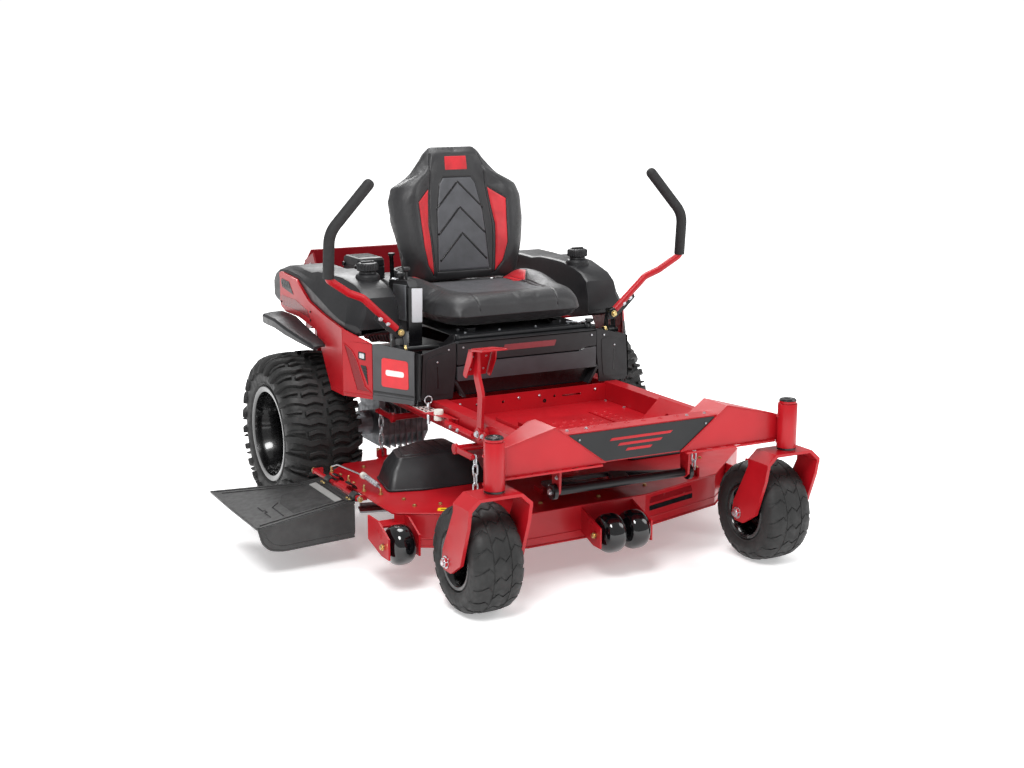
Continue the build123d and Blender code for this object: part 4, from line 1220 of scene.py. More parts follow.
def build_control_arm(name, side):
    """Folded pivot bracket with its damper rod end, stop bolt and return spring."""
    shape = Shape()
    x = 416
    pivot_y, shaft_z = -128, 640
    shape.lathe([(-18, 17), (18, 17), (18, 10.2), (-18, 10.2)], at(side * x, pivot_y, shaft_z), LEFTWARD, 32)
    for dx in (-16, 13):
        ear = [(pivot_y - 14, shaft_z - 18), (pivot_y + 14, shaft_z - 18), (pivot_y + 17, shaft_z),
               (pivot_y + 12, shaft_z + 40), (pivot_y + 4, 706), (pivot_y + 2, 722), (pivot_y - 1, 722),
               (pivot_y - 3, 700), (pivot_y - 12, shaft_z + 34), (pivot_y - 18, shaft_z)]
        low = side * x + dx
        shape.slab_x(ear, low, low + 3)
    shape.slab_y([(side * x - 16, 680), (side * x + 16, 680), (side * x + 16, 722), (side * x - 16, 722)],
                 pivot_y - 3, pivot_y + 1)
    shape.lathe([(0, 0.5), (22, 0.5), (22, 7.9), (0, 7.9)], at(side * x, pivot_y - 24, 704), REARWARD, 24, 1)
    shape.bolt(at(side * x, pivot_y - 29, 704), FORWARD, 10, 1)
    shape.disc(0, 3, 0.5, 9, at(side * (x + 19), pivot_y, shaft_z), (side, 0, 0), 24, 1)
    coils = 9
    turns = [at(side * (x - 27), pivot_y + 15 * cos(2 * pi * k / 12), shaft_z + 15 * sin(2 * pi * k / 12))
             + Vector((side * (k / 12) * 0.0011, 0, 0)) for k in range(coils * 12)]
    shape.tube(turns, 1.6, 8, 1)
    make_piece(f"{name}_control_arm_bracket", shape, f"{name}_arm",
               ["powder_coated_steel_black", "yellow_zinc_steel"], bevel_mm=0.5, sharp=36,
               replaces=(f"{name}_control_arm",))


class MOWER_OT_levers(bpy.types.Operator):
    """Bent drive levers with foam grips, and the brackets that they fold on"""

    bl_idname = "mower.levers"
    bl_label = "Drive levers"

    def execute(self, context):
        for name, side in SIDES.items():
            build_lever(name, side, context.scene.mower_sizes.grip_radius)
            build_control_arm(name, side)
        return {"FINISHED"}


# ---- body panels ----
FILLER_X, FILLER_Y = 420, 110
POD_STATIONS = [
    # y, bottom, top, outer top edge, scoop depth
    (-50, 690, 706, 700, 0), (-44, 686, 760, 716, 4), (-30, 680, 806, 724, 8), (10, 672, 832, 730, 12),
    (60, 668, 846, 738, 15), (140, 672, 860, 756, 18), (230, 680, 862, 782, 20), (320, 690, 861, 806, 20),
    (380, 698, 851, 820, 14), (450, 702, 853, 832, 9), (560, 702, 854, 838, 6), (640, 706, 842, 830, 4),
    (680, 712, 822, 812, 2), (698, 722, 796, 790, 0),
]


def build_pod(name, side):
    """Blow-moulded tank: a broad flat top, a sloping shoulder with a hollow in it, and a filler boss."""
    shape = Shape()
    rings = []
    for y, bottom, top, shoulder, scoop in POD_STATIONS:
        slant = min(0, (y - 16) * 0.56)
        outer = 552 + max(-66, slant)
        crest = min(492, outer - 12) if y < 60 else 492 + min(30, (y - 60) * 0.12)
        profile = [
            (374, bottom + 2), (374, top - 14), (377, top - 4), (386, top), (crest - 12, top), (crest, top - 4),
            ((crest + outer) / 2 - 4, (top + shoulder) / 2 - scoop * 0.5), (outer - 4, shoulder),
            (outer, shoulder - 8), (outer, bottom + 10), (outer - 6, bottom), (380, bottom)]
        rings.append([at(side * x, y, z) for x, z in profile])
    loft(shape, rings)
    boss = at(side * FILLER_X, FILLER_Y, 0)
    shape.lathe([(846, 0.5), (846, 44), (862, 42), (868, 38), (872, 30), (879, 28.5), (880, 26), (880, 0.5)],
                boss, UP, 48)
    make_piece(f"{name}_fuel_tank_moulded", shape, "chassis", ["moulded_polypropylene_black"],
               bevel_mm=3.5, segments=3, sharp=22, replaces=(f"{name}_fuel_tank",))


def build_cap(name, side):
    """Fluted filler cap with a grip bar across its top."""
    shape = Shape()
    flutes = 24
    rings = []
    for height, radius, wave in ((881, 33, 0), (882, 36, 1.2), (902, 36, 1.2), (906, 33.5, 0.6), (908, 29, 0)):
        ring = []
        for k in range(flutes * 6):
            angle = 2 * pi * k / (flutes * 6)
            reach = radius + wave * (1 if k % 6 < 3 else -1)
            ring.append(at(side * FILLER_X + reach * cos(angle), FILLER_Y + reach * sin(angle), height))
        rings.append(ring)
    loft(shape, rings)
    grip = rounded([(-24, -6), (24, -6), (24, 6), (-24, 6)], 5)
    shape.slab_z([(side * FILLER_X + u, FILLER_Y + v) for u, v in grip], 905, 913.6)
    make_piece(f"{name}_fuel_cap_fluted", shape, f"{name}_cap", ["moulded_polypropylene_black"], bevel_mm=1,
               sharp=40, replaces=(f"{name}_fuel_cap",))


PANEL_OUTLINE = [
    (8, 474), (118, 474), (247, 662), (420, 684), (560, 684), (612, 700), (612, 822), (596, 828), (440, 818),
    (318, 756), (180, 728), (8, 704)]
REAR_VENT = [(470, 758), (584, 772), (598, 792), (590, 804), (512, 800)]
PANEL_STRIPE = [(300, 694), (440, 706), (600, 706), (600, 742), (450, 742), (330, 720)]


def panel_face(shape, side, outline, depth, out, finish, radius=4):
    """Raised or sunk patch on the outer face of a side panel."""
    outer = side * (560 + out)
    shape.slab_x(rounded(outline, radius), *sorted((outer, outer - side * depth)), finish)


def face_between(side, start, end):
    """Upright face over two plan points: place(along, height, out of the face), and its length in mm."""
    start, end = Vector(start), Vector(end)
    along = (end - start).normalized()
    out = Vector((along.y, -along.x))

    def place(u, v, w):
        spot = start + along * u + out * w
        return at(side * spot.x, spot.y, v)

    return place, (end - start).length


def dress_wing(shape, side):
    """Bordered field, square lamp and slanted vent on the angled front wing of a side panel."""
    place, _ = face_between(side, (498, -98), (560, 8))
    field = [(116, 656), (82, 634), (62, 602), (30, 516), (6, 498), (64, 500)]
    shape.prism(field, -0.5, 0.9, place, 1)
    rib(shape, field + field[:1], 2.6, -0.5, 2.4, place, 0)
    rib(shape, [(3, 486), (120, 486)], 3, -0.5, 2.4, place, 0)
    lamp = rounded([(26, 604), (56, 608), (56, 634), (26, 630)], 5)
    shape.prism(lamp, -0.5, 1.6, place, 2)
    shape.prism(rounded([(31, 610), (51, 612), (51, 629), (31, 627)], 4), -0.5, 2.6, place, 4)
    vent = rounded([(24, 586), (48, 588), (17, 520)], 3)
    shape.prism(vent, -0.5, 1.6, place, 2)
    for k in range(4):
        z = 544 + 10 * k
        shape.prism([(20, z), (26 + 3.6 * k, z + 1), (27 + 3.6 * k, z + 4), (20, z + 3)], 1, 2.4, place, 3)


def build_side_panel(name, side):
    """Folded side panel: a crease line, a sunk parallelogram, a lamp, two vents and a plain stripe."""
    shape = Shape()
    low, high = sorted((side * 556, side * 560))
    shape.slab_x(rounded(PANEL_OUTLINE, 10), low, high, 0)
    ridge = [(8, 704), (180, 728), (318, 756), (440, 818), (596, 828), (612, 822), (612, 806), (596, 810),
             (446, 800), (326, 738), (186, 710), (8, 686)]
    shape.slab_x(ridge, *sorted((side * 552, side * 561.5)), 0)
    front_rib = [(8, 474), (118, 474), (124, 484), (18, 488), (18, 690), (8, 690)]
    shape.slab_x(front_rib, *sorted((side * 556, side * 561.2)), 0)
    panel_face(shape, side, REAR_VENT, 3, 1.2, 2, 5)
    for k in range(5):
        y = 504 + 18 * k
        panel_face(shape, side, [(y, 776), (y + 4, 776), (y + 14, 797), (y + 9, 797)], 2, 2.2, 3, 1)
    panel_face(shape, side, PANEL_STRIPE, 1.2, 0.8, 1, 6)
    wing = [(498, -98), (560, 8), (556, 10), (494, -95)]
    rings = []
    for z, trim in ((474, 0), (664, 0), (704, 1)):
        ring = [at(side * x, y, z if not trim else 662 + 42 * (y + 98) / 106) for x, y in wing]
        rings.append(ring)
    loft(shape, rings)
    dress_wing(shape, side)
    for y, z in ((300, 720), (600, 716), (300, 690)):
        shape.bolt(at(side * 560, y, z), (side, 0, 0), 4.5, 3, washer=False)
    make_piece(f"{name}_side_panel_folded", shape, "chassis",
               ["powder_coated_steel_red", "powder_coated_steel_deep", "moulded_polypropylene_black",
                "moulded_nylon_gloss", "clear_polycarbonate"],
               bevel_mm=0.8, sharp=30, replaces=(f"{name}_side_panel",))


def build_cowl(name, side):
    """Angled front cowl with a plain round-cornered badge and a moulded foot strip."""
    place, length = face_between(side, (411, -245), (497, -101))
    shape = Shape()
    skin = [(0, 474), (length, 474), (length, 664), (length - 20, 666), (0, 652)]
    shape.prism(rounded(skin, 4), -5, 0, place, 0)
    step = [(3, 498), (length, 500), (length, 506), (3, 504)]
    shape.prism(step, -1, 2.2, place, 2)
    badge = rounded([(22, 522), (132, 524), (130, 622), (24, 618)], 12, 6)
    shape.prism(badge, -1, 1.6, place, 1)
    bar = rounded([(40, 562), (114, 563), (114, 583), (40, 581)], 9, 5)
    shape.prism(bar, 1, 2.0, place, 3)
    shape.prism([(0, 474), (length, 474), (length, 492), (0, 490)], -1, 3, place, 0)
    make_piece(f"{name}_front_cowl_moulded", shape, "chassis",
               ["moulded_polypropylene_grey", "printed_label_red", "moulded_polypropylene_black",
                "printed_label_white"],
               bevel_mm=1.0, sharp=30, replaces=(f"{name}_front_cowl",))


def build_skirts():
    """Wheel-arch lips: thick rounded mouldings with a step along the outer edge."""
    shape = Shape()
    for side in (-1, 1):
        rings = []
        for y, top, thick, outer in (
                (162, 624, 15, 608), (185, 634, 20, 616), (260, 648, 26, 628), (360, 667, 32, 642),
                (440, 684, 36, 650), (520, 685, 37, 650), (572, 684, 36, 647), (590, 683, 32, 628)):
            under = top - thick
            profile = [(562, top), (outer - 26, top), (outer - 6, top - 3), (outer, top - 10), (outer - 2, under),
                       (outer - 14, under - 2), (outer - 22, under + 6), (562, under + 8)]
            rings.append([at(side * x, y, z) for x, z in profile])
        loft(shape, rings)
    make_piece("fender_skirts_moulded", shape, "chassis", ["moulded_polypropylene_black"], bevel_mm=2,
               segments=3, sharp=24, replaces=("fender_skirts",))


def build_tower():
    """Moulded tower: a stepped centre panel between two flanks, with a dark recess over the floor."""
    shape = Shape()
    y = -276

    def panel(outline, front, depth, finish=0, radius=4):
        shape.slab_y(rounded(outline, radius), y - front, y - front + depth, finish)

    for side in (-1, 1):
        flank = [(side * x, z) for x, z in (
            (286, 490.3), (388, 490.3), (404, 504), (398, 648), (320, 668), (272, 678), (272, 600), (278, 545))]
        panel(flank, 0, 10)
        cheek = [(side * x, z) for x, z in ((398, 648), (404, 504), (404, 490.5), (400, 490.5), (392, 645))]
        shape.slab_y(cheek, y, y + 76)
        raised = [(side * x, z) for x, z in (
            (300, 508), (384, 508), (382, 630), (318, 648), (290, 640), (294, 560))]
        panel(raised, 2.0, 4, 0, 8)
        slot = [(side * x, z) for x, z in ((338, 530), (343, 530), (345, 604), (340, 604))]
        panel(slot, 2.6, 2, 1, 2)
        shape.bolt(at(side * 342, y - 2, 618), FORWARD, 3.4, 2, washer=False)
        shape.bolt(at(side * 300, y - 1, 656), FORWARD, 3.4, 2, washer=False)
    top_band = [(-268, 600), (-240, 602), (-214, 612), (200, 612), (226, 620), (268, 622), (268, 676), (-268, 676)]
    panel(top_band, 4, 9, 0)
    low_band = [(-268, 547), (268, 547), (268, 618), (226, 616), (200, 607), (-214, 607), (-240, 597), (-268, 595)]
    panel(low_band, 2.5, 8, 3)
    badge = [(-100, 636), (100, 636), (108, 656), (-92, 656)]
    panel(badge, 5.0, 3, 4, 3)
    for x in (-248, 248):
        shape.bolt(at(x, y - 4, 660), FORWARD, 3.6, 2, washer=False)
    back = [(-240, 490.3), (240, 490.3), (274, 546), (-274, 546)]
    shape.slab_y(back, -246, -241, 1)
    chamfer = [(-276, 552), (276, 552), (276, 545), (-276, 545)]
    shape.slab_y(chamfer, -276, -244, 1)
    for side in (-1, 1):
        jamb = [(side * x, z) for x, z in ((236, 490.3), (246, 490.3), (280, 546), (270, 546))]
        shape.slab_y(jamb, -278, -244, 0)
    shape.slab_y([(-268, 672), (268, 672), (262, 678), (-262, 678)], -280, -230)
    make_piece("console_front_moulded", shape, "chassis",
               ["moulded_polypropylene_black", "moulded_nylon_gloss", "zinc_plated_steel",
                "moulded_polypropylene_satin", "printed_label_dark_red"],
               bevel_mm=1.2, segments=2, sharp=28, replaces=("console_front",))


class MOWER_OT_panels(bpy.types.Operator):
    """Tank pods, side panels, cowls, wheel-arch lips and the tower"""

    bl_idname = "mower.panels"
    bl_label = "Body panels"

    def execute(self, context):
        for name, side in SIDES.items():
            build_pod(name, side)
            build_cap(name, side)
            build_side_panel(name, side)
            build_cowl(name, side)
        build_skirts()
        build_tower()
        return {"FINISHED"}


# ---- front end ----
def build_nose_plate():
    """Cut front plate with two bolts and three plain raised bars."""
    shape = Shape()
    face = rounded([(-262, 517), (262, 517), (136, 424), (-136, 424)], 8)
    shape.slab_y(face, -994, -990.2, 0)
    for side in (-1, 1):
        shape.bolt(at(side * 225, -994, 500), FORWARD, 4, 1, washer=False)
    bars = ([(-120, 484), (96, 484), (104, 492), (-112, 492)], [(-92, 466), (60, 466), (68, 474), (-84, 474)],
            [(-64, 448), (24, 448), (32, 456), (-56, 456)])
    for bar in bars:
        shape.slab_y(bar, -994.8, -993.6, 2)
    make_piece("nose_plate_cut", shape, "chassis",
               ["powder_coated_steel_black", "oiled_blade_steel", "powder_coated_steel_red"],
               bevel_mm=0.8, sharp=30, replaces=("nose_plate",))


def build_axle_details():
    """Slotted flange under each arm, weld beads, pivot bushes and their bolts."""
    shape = Shape()
    for side in (-1, 1):
        shape.block(sorted((side * 150, side * 484)), (-1008, -1004.5), (413, 419))
        for x in range(150, 470, 52):
            shape.block(sorted((side * x, side * (x + 26))), (-1005, -995.5), (413, 419))
        crest = [at(side * 135, -996, 421), at(side * 306, -996, 546), at(side * 484, -996, 502)]
        shape.tube(crest, 2.2, 8, 0)
        for z in (412, 494):
            ring = [at(side * STEM_X + 32.5 * cos(a), STEM_Y + 32.5 * sin(a), z) for a in
                    [pi * (0.05 + 0.9 * k / 12) for k in range(13)]]
            shape.tube(ring, 2.4, 8, 0)
        y, z = -878, 316
        bush = at(side * 239, y, z)
        shape.lathe([(0, 8.6), (0, 25), (13, 25), (16, 21), (16, 8.6)], bush, (side, 0, 0), 36, 1)
        shape.bolt(at(side * 255, y, z), (side, 0, 0), 9, 2)
        for y, z in ((-886, 360), (-864, 396)):
            shape.bolt(at(side * 238, y, z), (side, 0, 0), 6, 2)
        for x in (180, 246):
            shape.bolt(at(side * x, -958, 521), UP, 5, 2)
    for x in (-150, -90, -30, 30, 90, 150):
        shape.lathe([(0, 3), (0, 9), (1.6, 8), (1.6, 3)], at(x, -945, 521), UP, 20, 0)
    make_piece("front_axle_fittings", shape, "chassis",
               ["powder_coated_steel_red", "moulded_nylon_gloss", "zinc_plated_steel"],
               bevel_mm=0.6, sharp=34)


STEM_X, STEM_Y = 520, -1020
CASTER_AXLE_Y, CASTER_AXLE_Z = -914, 165


def build_fork_details(name, side):
    """Axle bolt heads, spacer washers, stem cap and a ring round the stem of one caster."""
    x0 = side * STEM_X
    shape = Shape()
    for way in (-1, 1):
        seat = at(x0 + way * 103.2, CASTER_AXLE_Y, CASTER_AXLE_Z)
        shape.disc(0, 2.4, 9, 19, seat, (way, 0, 0), 32, 0)
        head = at(x0 + way * 105, CASTER_AXLE_Y, CASTER_AXLE_Z)
        shape.disc(0, 7.4, 0.5, 15.6, head, (way, 0, 0), 6, 0)
        shape.lathe([(7, 0.5), (7, 10.4), (12, 10.2), (13.4, 8), (13.4, 0.5)], head, (way, 0, 0), 28, 0)
    shape.lathe([(545, 0.5), (545, 27.4), (547, 27.4), (551, 24), (552, 12), (550, 9), (550, 0.5)],
                at(x0, STEM_Y, 0), UP, 40, 1)
    shape.lathe([(395.4, 27), (395.4, 30.5), (390, 30.5), (388, 27)], at(x0, STEM_Y, 0), UP, 40, 1)
    make_piece(f"{name}_caster_bolts", shape, f"{name}_fork", ["zinc_plated_steel", "moulded_nylon_gloss"],
               bevel_mm=0.5, sharp=34)


def build_pan_details():
    """Raised tread pads with punched studs, floor bolts and a small plug."""
    shape = Shape()
    for x in range(-130, 100, 38):
        for y in range(-730, -500, 46):
            shape.lathe([(436.8, 3.5), (436.8, 9), (439.6, 6.6), (439.6, 3.5)], at(x, y, 0), UP, 18, 0)
    pad = rounded([(150, -600), (224, -600), (224, -420), (150, -420)], 10)
    shape.slab_z(pad, 424.5, 428.5)
    for y in range(-582, -430, 34):
        for x in (170, 204):
            shape.lathe([(428.4, 3.5), (428.4, 8), (430.4, 6), (430.4, 3.5)], at(x, y, 0), UP, 18, 0)
    for side in (-1, 1):
        for y in (-840, -640, -420, -300):
            shape.bolt(at(side * 296, y, 425), UP, 5, 1)
    for x in (-262, -40, 40, 262):
        shape.bolt(at(x, -284, 468), FORWARD, 4.5, 1)
    shape.disc(0, 1.2, 2, 6.4, at(60, -284.2, 448), FORWARD, 20, 2)
    make_piece("foot_pan_studs", shape, "chassis",
               ["powder_coated_steel_red", "zinc_plated_steel", "moulded_nylon_gloss"],
               bevel_mm=0, sharp=34)


def build_pedal():
    """Bent flat arm with a folded foot plate and side wings, on its pivot boss; y0, z0 is the pivot."""
    y0, z0 = -655, 462
    shape = Shape()
    arm = [(y0 - 16, z0 + 4), (y0 - 12, z0 - 14), (y0 + 10, z0 - 14), (y0 + 13, z0 + 12), (y0 + 4, z0 + 120),
           (y0 + 32, z0 + 176), (y0 + 28, z0 + 262), (y0 + 4, z0 + 264), (y0 + 2, z0 + 188), (y0 - 28, z0 + 130)]
    shape.slab_x(rounded(arm, 14), -384, -374)
    ledge = [(y0 - 66, z0 + 274), (y0 + 26, z0 + 262), (y0 + 25, z0 + 257), (y0 - 66, z0 + 269)]
    shape.slab_x(ledge, -404, -318)
    sheet = [(y0 + 26, z0 + 262), (y0 + 66, z0 + 176), (y0 + 61, z0 + 174), (y0 + 21, z0 + 260)]
    shape.slab_x(sheet, -398, -326)
    for low in (-404, -322):
        wing = [(y0 + 24, z0 + 262), (y0 + 66, z0 + 176), (y0 + 44, z0 + 168), (y0 + 4, z0 + 232),
                (y0 + 2, z0 + 262)]
        shape.slab_x(rounded(wing, 8), low, low + 4)
    for dx in (-386, -340):
        for share in (0.25, 0.75):
            spot = at(dx, y0 + 22 + 40 * share, z0 + 260 - 86 * share)
            shape.bolt(spot, (0, -0.906, -0.423), 4.5, 1)
    for k in range(6):
        y = y0 - 58 + 14 * k
        shape.slab_x([(y, z0 + 273.6 - 1.85 * k), (y + 6, z0 + 272.8 - 1.85 * k), (y + 5, z0 + 275.4 - 1.85 * k),
                      (y + 1, z0 + 276 - 1.85 * k)], -398, -324)
    pivot = at(0, y0, z0)
    shape.disc(-388, -357, 8, 20, pivot, LEFTWARD, 32)
    shape.bolt(at(-388, y0, z0), RIGHTWARD, 10, 1)
    shape.bolt(at(-384, y0 - 26, z0 - 2), RIGHTWARD, 7, 1)
    tail = [(y0 - 14, z0 + 12), (y0 - 14, z0 - 14), (y0 - 44, z0 - 12), (y0 - 40, z0 + 6)]
    shape.slab_x(rounded(tail, 8), -384, -374)
    make_piece("lift_pedal_bent", shape, "pedal", ["powder_coated_steel_red", "zinc_plated_steel"],
               bevel_mm=1.0, sharp=30, replaces=("lift_pedal",))


def build_height_plate():
    """Slotted plate with its pale printed frames, stop pin, bumper block and guide tube."""
    shape = Shape()
    plate = rounded([(-357.5, -120), (-420, -160), (-420, -330), (-358, -470)], 10)
    shape.slab_z(plate, 464, 468, 0)
    shape.slab_x([(-460, 434), (-130, 434), (-130, 468), (-460, 468)], -362, -357.5, 0)
    for row in range(6):
        for column in range(3):
            x, y = -372 - 17 * column, -186 - 27 * row
            if x < -404 and y > -190:
                continue
            frame_outline = rounded([(x - 7, y - 11), (x + 7, y - 11), (x + 7, y + 11), (x - 7, y + 11)], 3, 3)
            shape.slab_z(frame_outline, 467.8, 468.8, 3)
            slot = rounded([(x - 4, y - 8), (x + 4, y - 8), (x + 4, y + 8), (x - 4, y + 8)], 3, 3)
            shape.slab_z(slot, 468.4, 469.2, 2)
    shape.lathe([(420, 0.5), (420, 6), (490, 6), (492, 4), (492, 0.5)], at(-386, -300, 0), UP, 24, 1)
    ring = [at(-386 + 13 * cos(2 * pi * k / 24), -300, 500 + 13 * sin(2 * pi * k / 24)) for k in range(25)]
    shape.tube(ring, 2, 8, 1)
    bumper = rounded([(-404, -250), (-366, -250), (-366, -212), (-404, -212)], 6)
    shape.slab_z(bumper, 469, 494, 2)
    shape.slab_z(rounded([(-410, -206), (-362, -206), (-362, -196), (-410, -196)], 3), 469, 486, 2)
    shape.lathe([(448, 0.5), (448, 15), (452, 16), (478, 16), (482, 15), (482, 0.5)], at(-384, -372, 0), UP, 32, 4)
    tube = [at(-378, -610, 446), at(-378, -420, 446)]
    shape.tube(tube, 11, 24, 0)
    shape.block((-380, -358), (-440, -420), (440, 466), 0)
    shape.bolt(at(-389, -520, 446), RIGHTWARD, 6, 1)
    shape.bolt(at(-389, -470, 446), RIGHTWARD, 6, 1)
    make_piece("cut_height_plate_slotted", shape, "chassis",
               ["powder_coated_steel_red", "zinc_plated_steel", "moulded_nylon_gloss", "printed_label_white",
                "moulded_acetal_white"], bevel_mm=0.5, sharp=32, replaces=("cut_height_plate",))


class MOWER_OT_front_end(bpy.types.Operator):
    """Nose plate, axle fittings, caster bolts, foot pan studs, pedal and cutting-height plate"""

    bl_idname = "mower.front_end"
    bl_label = "Front end"

    def execute(self, context):
        build_nose_plate()
        build_axle_details()
        for name, side in SIDES.items():
            build_fork_details(name, side)
        build_pan_details()
        build_pedal()
        build_height_plate()
        return {"FINISHED"}


# ---- cutting deck ----
HINGE_X, HINGE_Z = -668, 222
TIP_X = -1006


def deflector_top(x):
    """Height of the deflector's upper face."""
    return 218 + (167 - 218) * (x - (HINGE_X - 12)) / (TIP_X - (HINGE_X - 12))


def build_deflector():
    """Ribbed rubber flap with a rolled rim, a rounded front lip and two hinge loops."""
    shape = Shape()

    def lay(x, y, h):
        return at(x, y, deflector_top(x) + h)

    plan = rounded([(-680, -361), (-1004, -361), (-1006, -100), (-1003, 128), (-752, -46), (-680, -58)], 14)
    shape.prism(plan, -7, -1.5, lay, 0)
    rim = [(-684, -355), (-998, -355), (-1000, 118), (-752, -56), (-684, -66), (-684, -355)]
    rib(shape, rim, 9, -3, 0.6, lay, 0)
    for line in ([(-700, -334), (-984, -334)], [(-976, 70), (-768, -72), (-700, -82)],
                 [(-700, -334), (-700, -82)]):
        rib(shape, line, 5, -2, 1.0, lay, 0)
    field = rounded([(-738, -318), (-868, -318), (-868, -190), (-838, -120), (-738, -106)], 8)
    shape.prism(field, -2, -0.9, lay, 3)
    rib(shape, [(-900, -310), (-900, -208), (-872, -180)], 3.5, -2, 0.4, lay, 2)
    rib(shape, [(-936, -290), (-936, -236), (-928, -236), (-928, -214), (-936, -214), (-936, -170)], 3.5, -2, 0.4,
        lay, 2)
    strip = rounded([(-708, -326), (-732, -326), (-732, -96), (-708, -96)], 3)
    shape.prism(strip, -2, 0.2, lay, 1)
    lip = [(-680, 216), (-680, 94), (-925, 83), (-968, 92), (-992, 116), (-1003, 160), (-1006, 166)]
    shape.slab_y(rounded(lip, 22, 6), -366, -360, 0)
    bead = [at(x, -364, z) for x, z in ((-682, 97), (-925, 87), (-966, 96), (-989, 120), (-1001, 162))]
    shape.tube(arc_route(bead, 26), 3.6, 10, 0)
    groove = [at(x, -366, z) for x, z in ((-690, 112), (-920, 102), (-954, 110), (-974, 130), (-984, 160))]
    shape.tube(arc_route(groove, 24), 1.4, 8, 0)
    shape.slab_y([(-680, 214), (-680, 206), (-996, 158), (-998, 166)], -368, -360, 0)
    for y in (-340, -120):
        centre = at(HINGE_X, y, HINGE_Z)
        shape.disc(-18, 18, 8.3, 14, centre, REARWARD, 32, 0)
        shape.block((-704, HINGE_X - 8), (y - 18, y + 18), (208, 217.5), 0)
        for dy in (-10, 10):
            shape.bolt(at(-692, y + dy, 217), UP, 5, 4)
    make_piece("discharge_deflector_moulded", shape, "deflector",
               ["moulded_deflector_rubber", "printed_label_grey", "moulded_nylon_gloss", "scuffed_deflector_rubber",
                "yellow_zinc_steel"],
               bevel_mm=0.9, sharp=32, replaces=("discharge_deflector",))


def build_chute_hardware():
    """Half-round hinge guards, hinge tube, spring rod and bolts on the discharge side."""
    shape = Shape()
    for low, high in ((-300, -262), (-186, -150)):
        rings = []
        for k in range(13):
            angle = radians(-40 + 135 * k / 12)
            rings.append([at(HINGE_X + r * cos(angle), y, HINGE_Z + 4 + r * sin(angle))
                          for r, y in ((23, low), (27, low), (27, high), (23, high))])
        loft(shape, rings, 0)
        shape.bolt(at(HINGE_X + 20, (low + high) / 2, HINGE_Z + 26), (0.6, 0, 0.8), 6, 1)
    tube = [at(HINGE_X + 10, -262, HINGE_Z + 2), at(HINGE_X + 10, -186, HINGE_Z + 2)]
    shape.tube(tube, 12, 24, 2)
    shape.tube([at(HINGE_X, -380, HINGE_Z), at(HINGE_X, 24, HINGE_Z)], 7.9, 20, 3)
    for y in (-384, 24):
        shape.bolt(at(HINGE_X, y, HINGE_Z), (0, -1 if y < 0 else 1, 0), 8, 1)
    rod = points_at((-636, -60, 250), (-626, -90, 262), (-606, -300, 266), (-600, -390, 250))
    shape.tube(arc_route(rod, 18), 3.2, 12, 3)
    spring(shape, at(-608, -290, 266), at(-601, -372, 256), 8, 1.6, 16, 3)
    shape.lathe([(0, 3), (0, 11), (16, 11), (18, 8), (18, 3)], at(-609, -280, 266), REARWARD, 24, 4)
    for x, y in ((-636, -60), (-600, -392), (-632, -330), (-632, -200)):
        shape.bolt(at(x, y, 232), UP, 7, 1)
        shape.lathe([(0, 0.5), (0, 4), (14, 4), (16, 2.5), (16, 0.5)], at(x, y, 237), UP, 16, 1)
    make_piece("chute_hinge_hardware", shape, "deck",
               ["moulded_nylon_gloss", "yellow_zinc_steel", "powder_coated_steel_red", "zinc_plated_steel",
                "moulded_acetal_white"], bevel_mm=0.6, sharp=34)


SPINDLE_X, SPINDLE_GAP = 55, 450
COVER_Y = -290


def build_belt_cover(name, side):
    """Vacuum-formed cover: sloping faceted sides, a stepped crown, a foot flange and four knobs."""
    x0 = SPINDLE_X + side * SPINDLE_GAP
    shape = Shape()
    foot = [(-178, -96), (-140, 90), (60, 190), (178, 190), (178, -130), (-60, -130)]
    crown = [(-130, -60), (-100, 60), (40, 130), (130, 130), (130, -70), (-40, -70)]

    def place(u, v, z):
        return at(x0 - side * u, COVER_Y + v, z)

    def ring(outline, z, grow=0.0, radius=20):
        middle = Vector((sum(u for u, v in outline) / 6, sum(v for u, v in outline) / 6))
        spread = [tuple(middle + (Vector(point) - middle) * (1 + grow)) for point in outline]
        return [place(u, v, z) for u, v in rounded(spread, radius, 4)]

    mixed = [tuple(Vector(a) * 0.42 + Vector(b) * 0.58) for a, b in zip(foot, crown)]
    loft(shape, [ring(foot, 232.5), ring(foot, 238), ring(foot, 239, -0.03), ring(mixed, 292, 0.03),
                 ring(crown, 322), ring(crown, 330, -0.04), ring(crown, 332, -0.1)])
    loft(shape, [ring(crown, 331, -0.2), ring(crown, 334.5, -0.22), ring(crown, 335, -0.25)])
    for k in range(5):
        u = -70 + 34 * k
        rib(shape, [(u, -40), (u + 6, 70 + 6 * k)], 5, 331, 336, place, 0)
    for u, v in ((-150, -80), (-118, 84), (160, 168), (160, -112)):
        spot = place(u * 0.97, v * 0.95, 238)
        shape.lathe([(0, 0.5), (0, 12), (3, 12.5), (10, 10), (12, 6), (12, 0.5)], spot, UP, 20, 1)
    make_piece(f"{name}_belt_cover_formed", shape, "deck", ["moulded_polypropylene_black", "moulded_nylon_gloss"],
               bevel_mm=1.2, sharp=24, replaces=(f"{name}_belt_cover",))


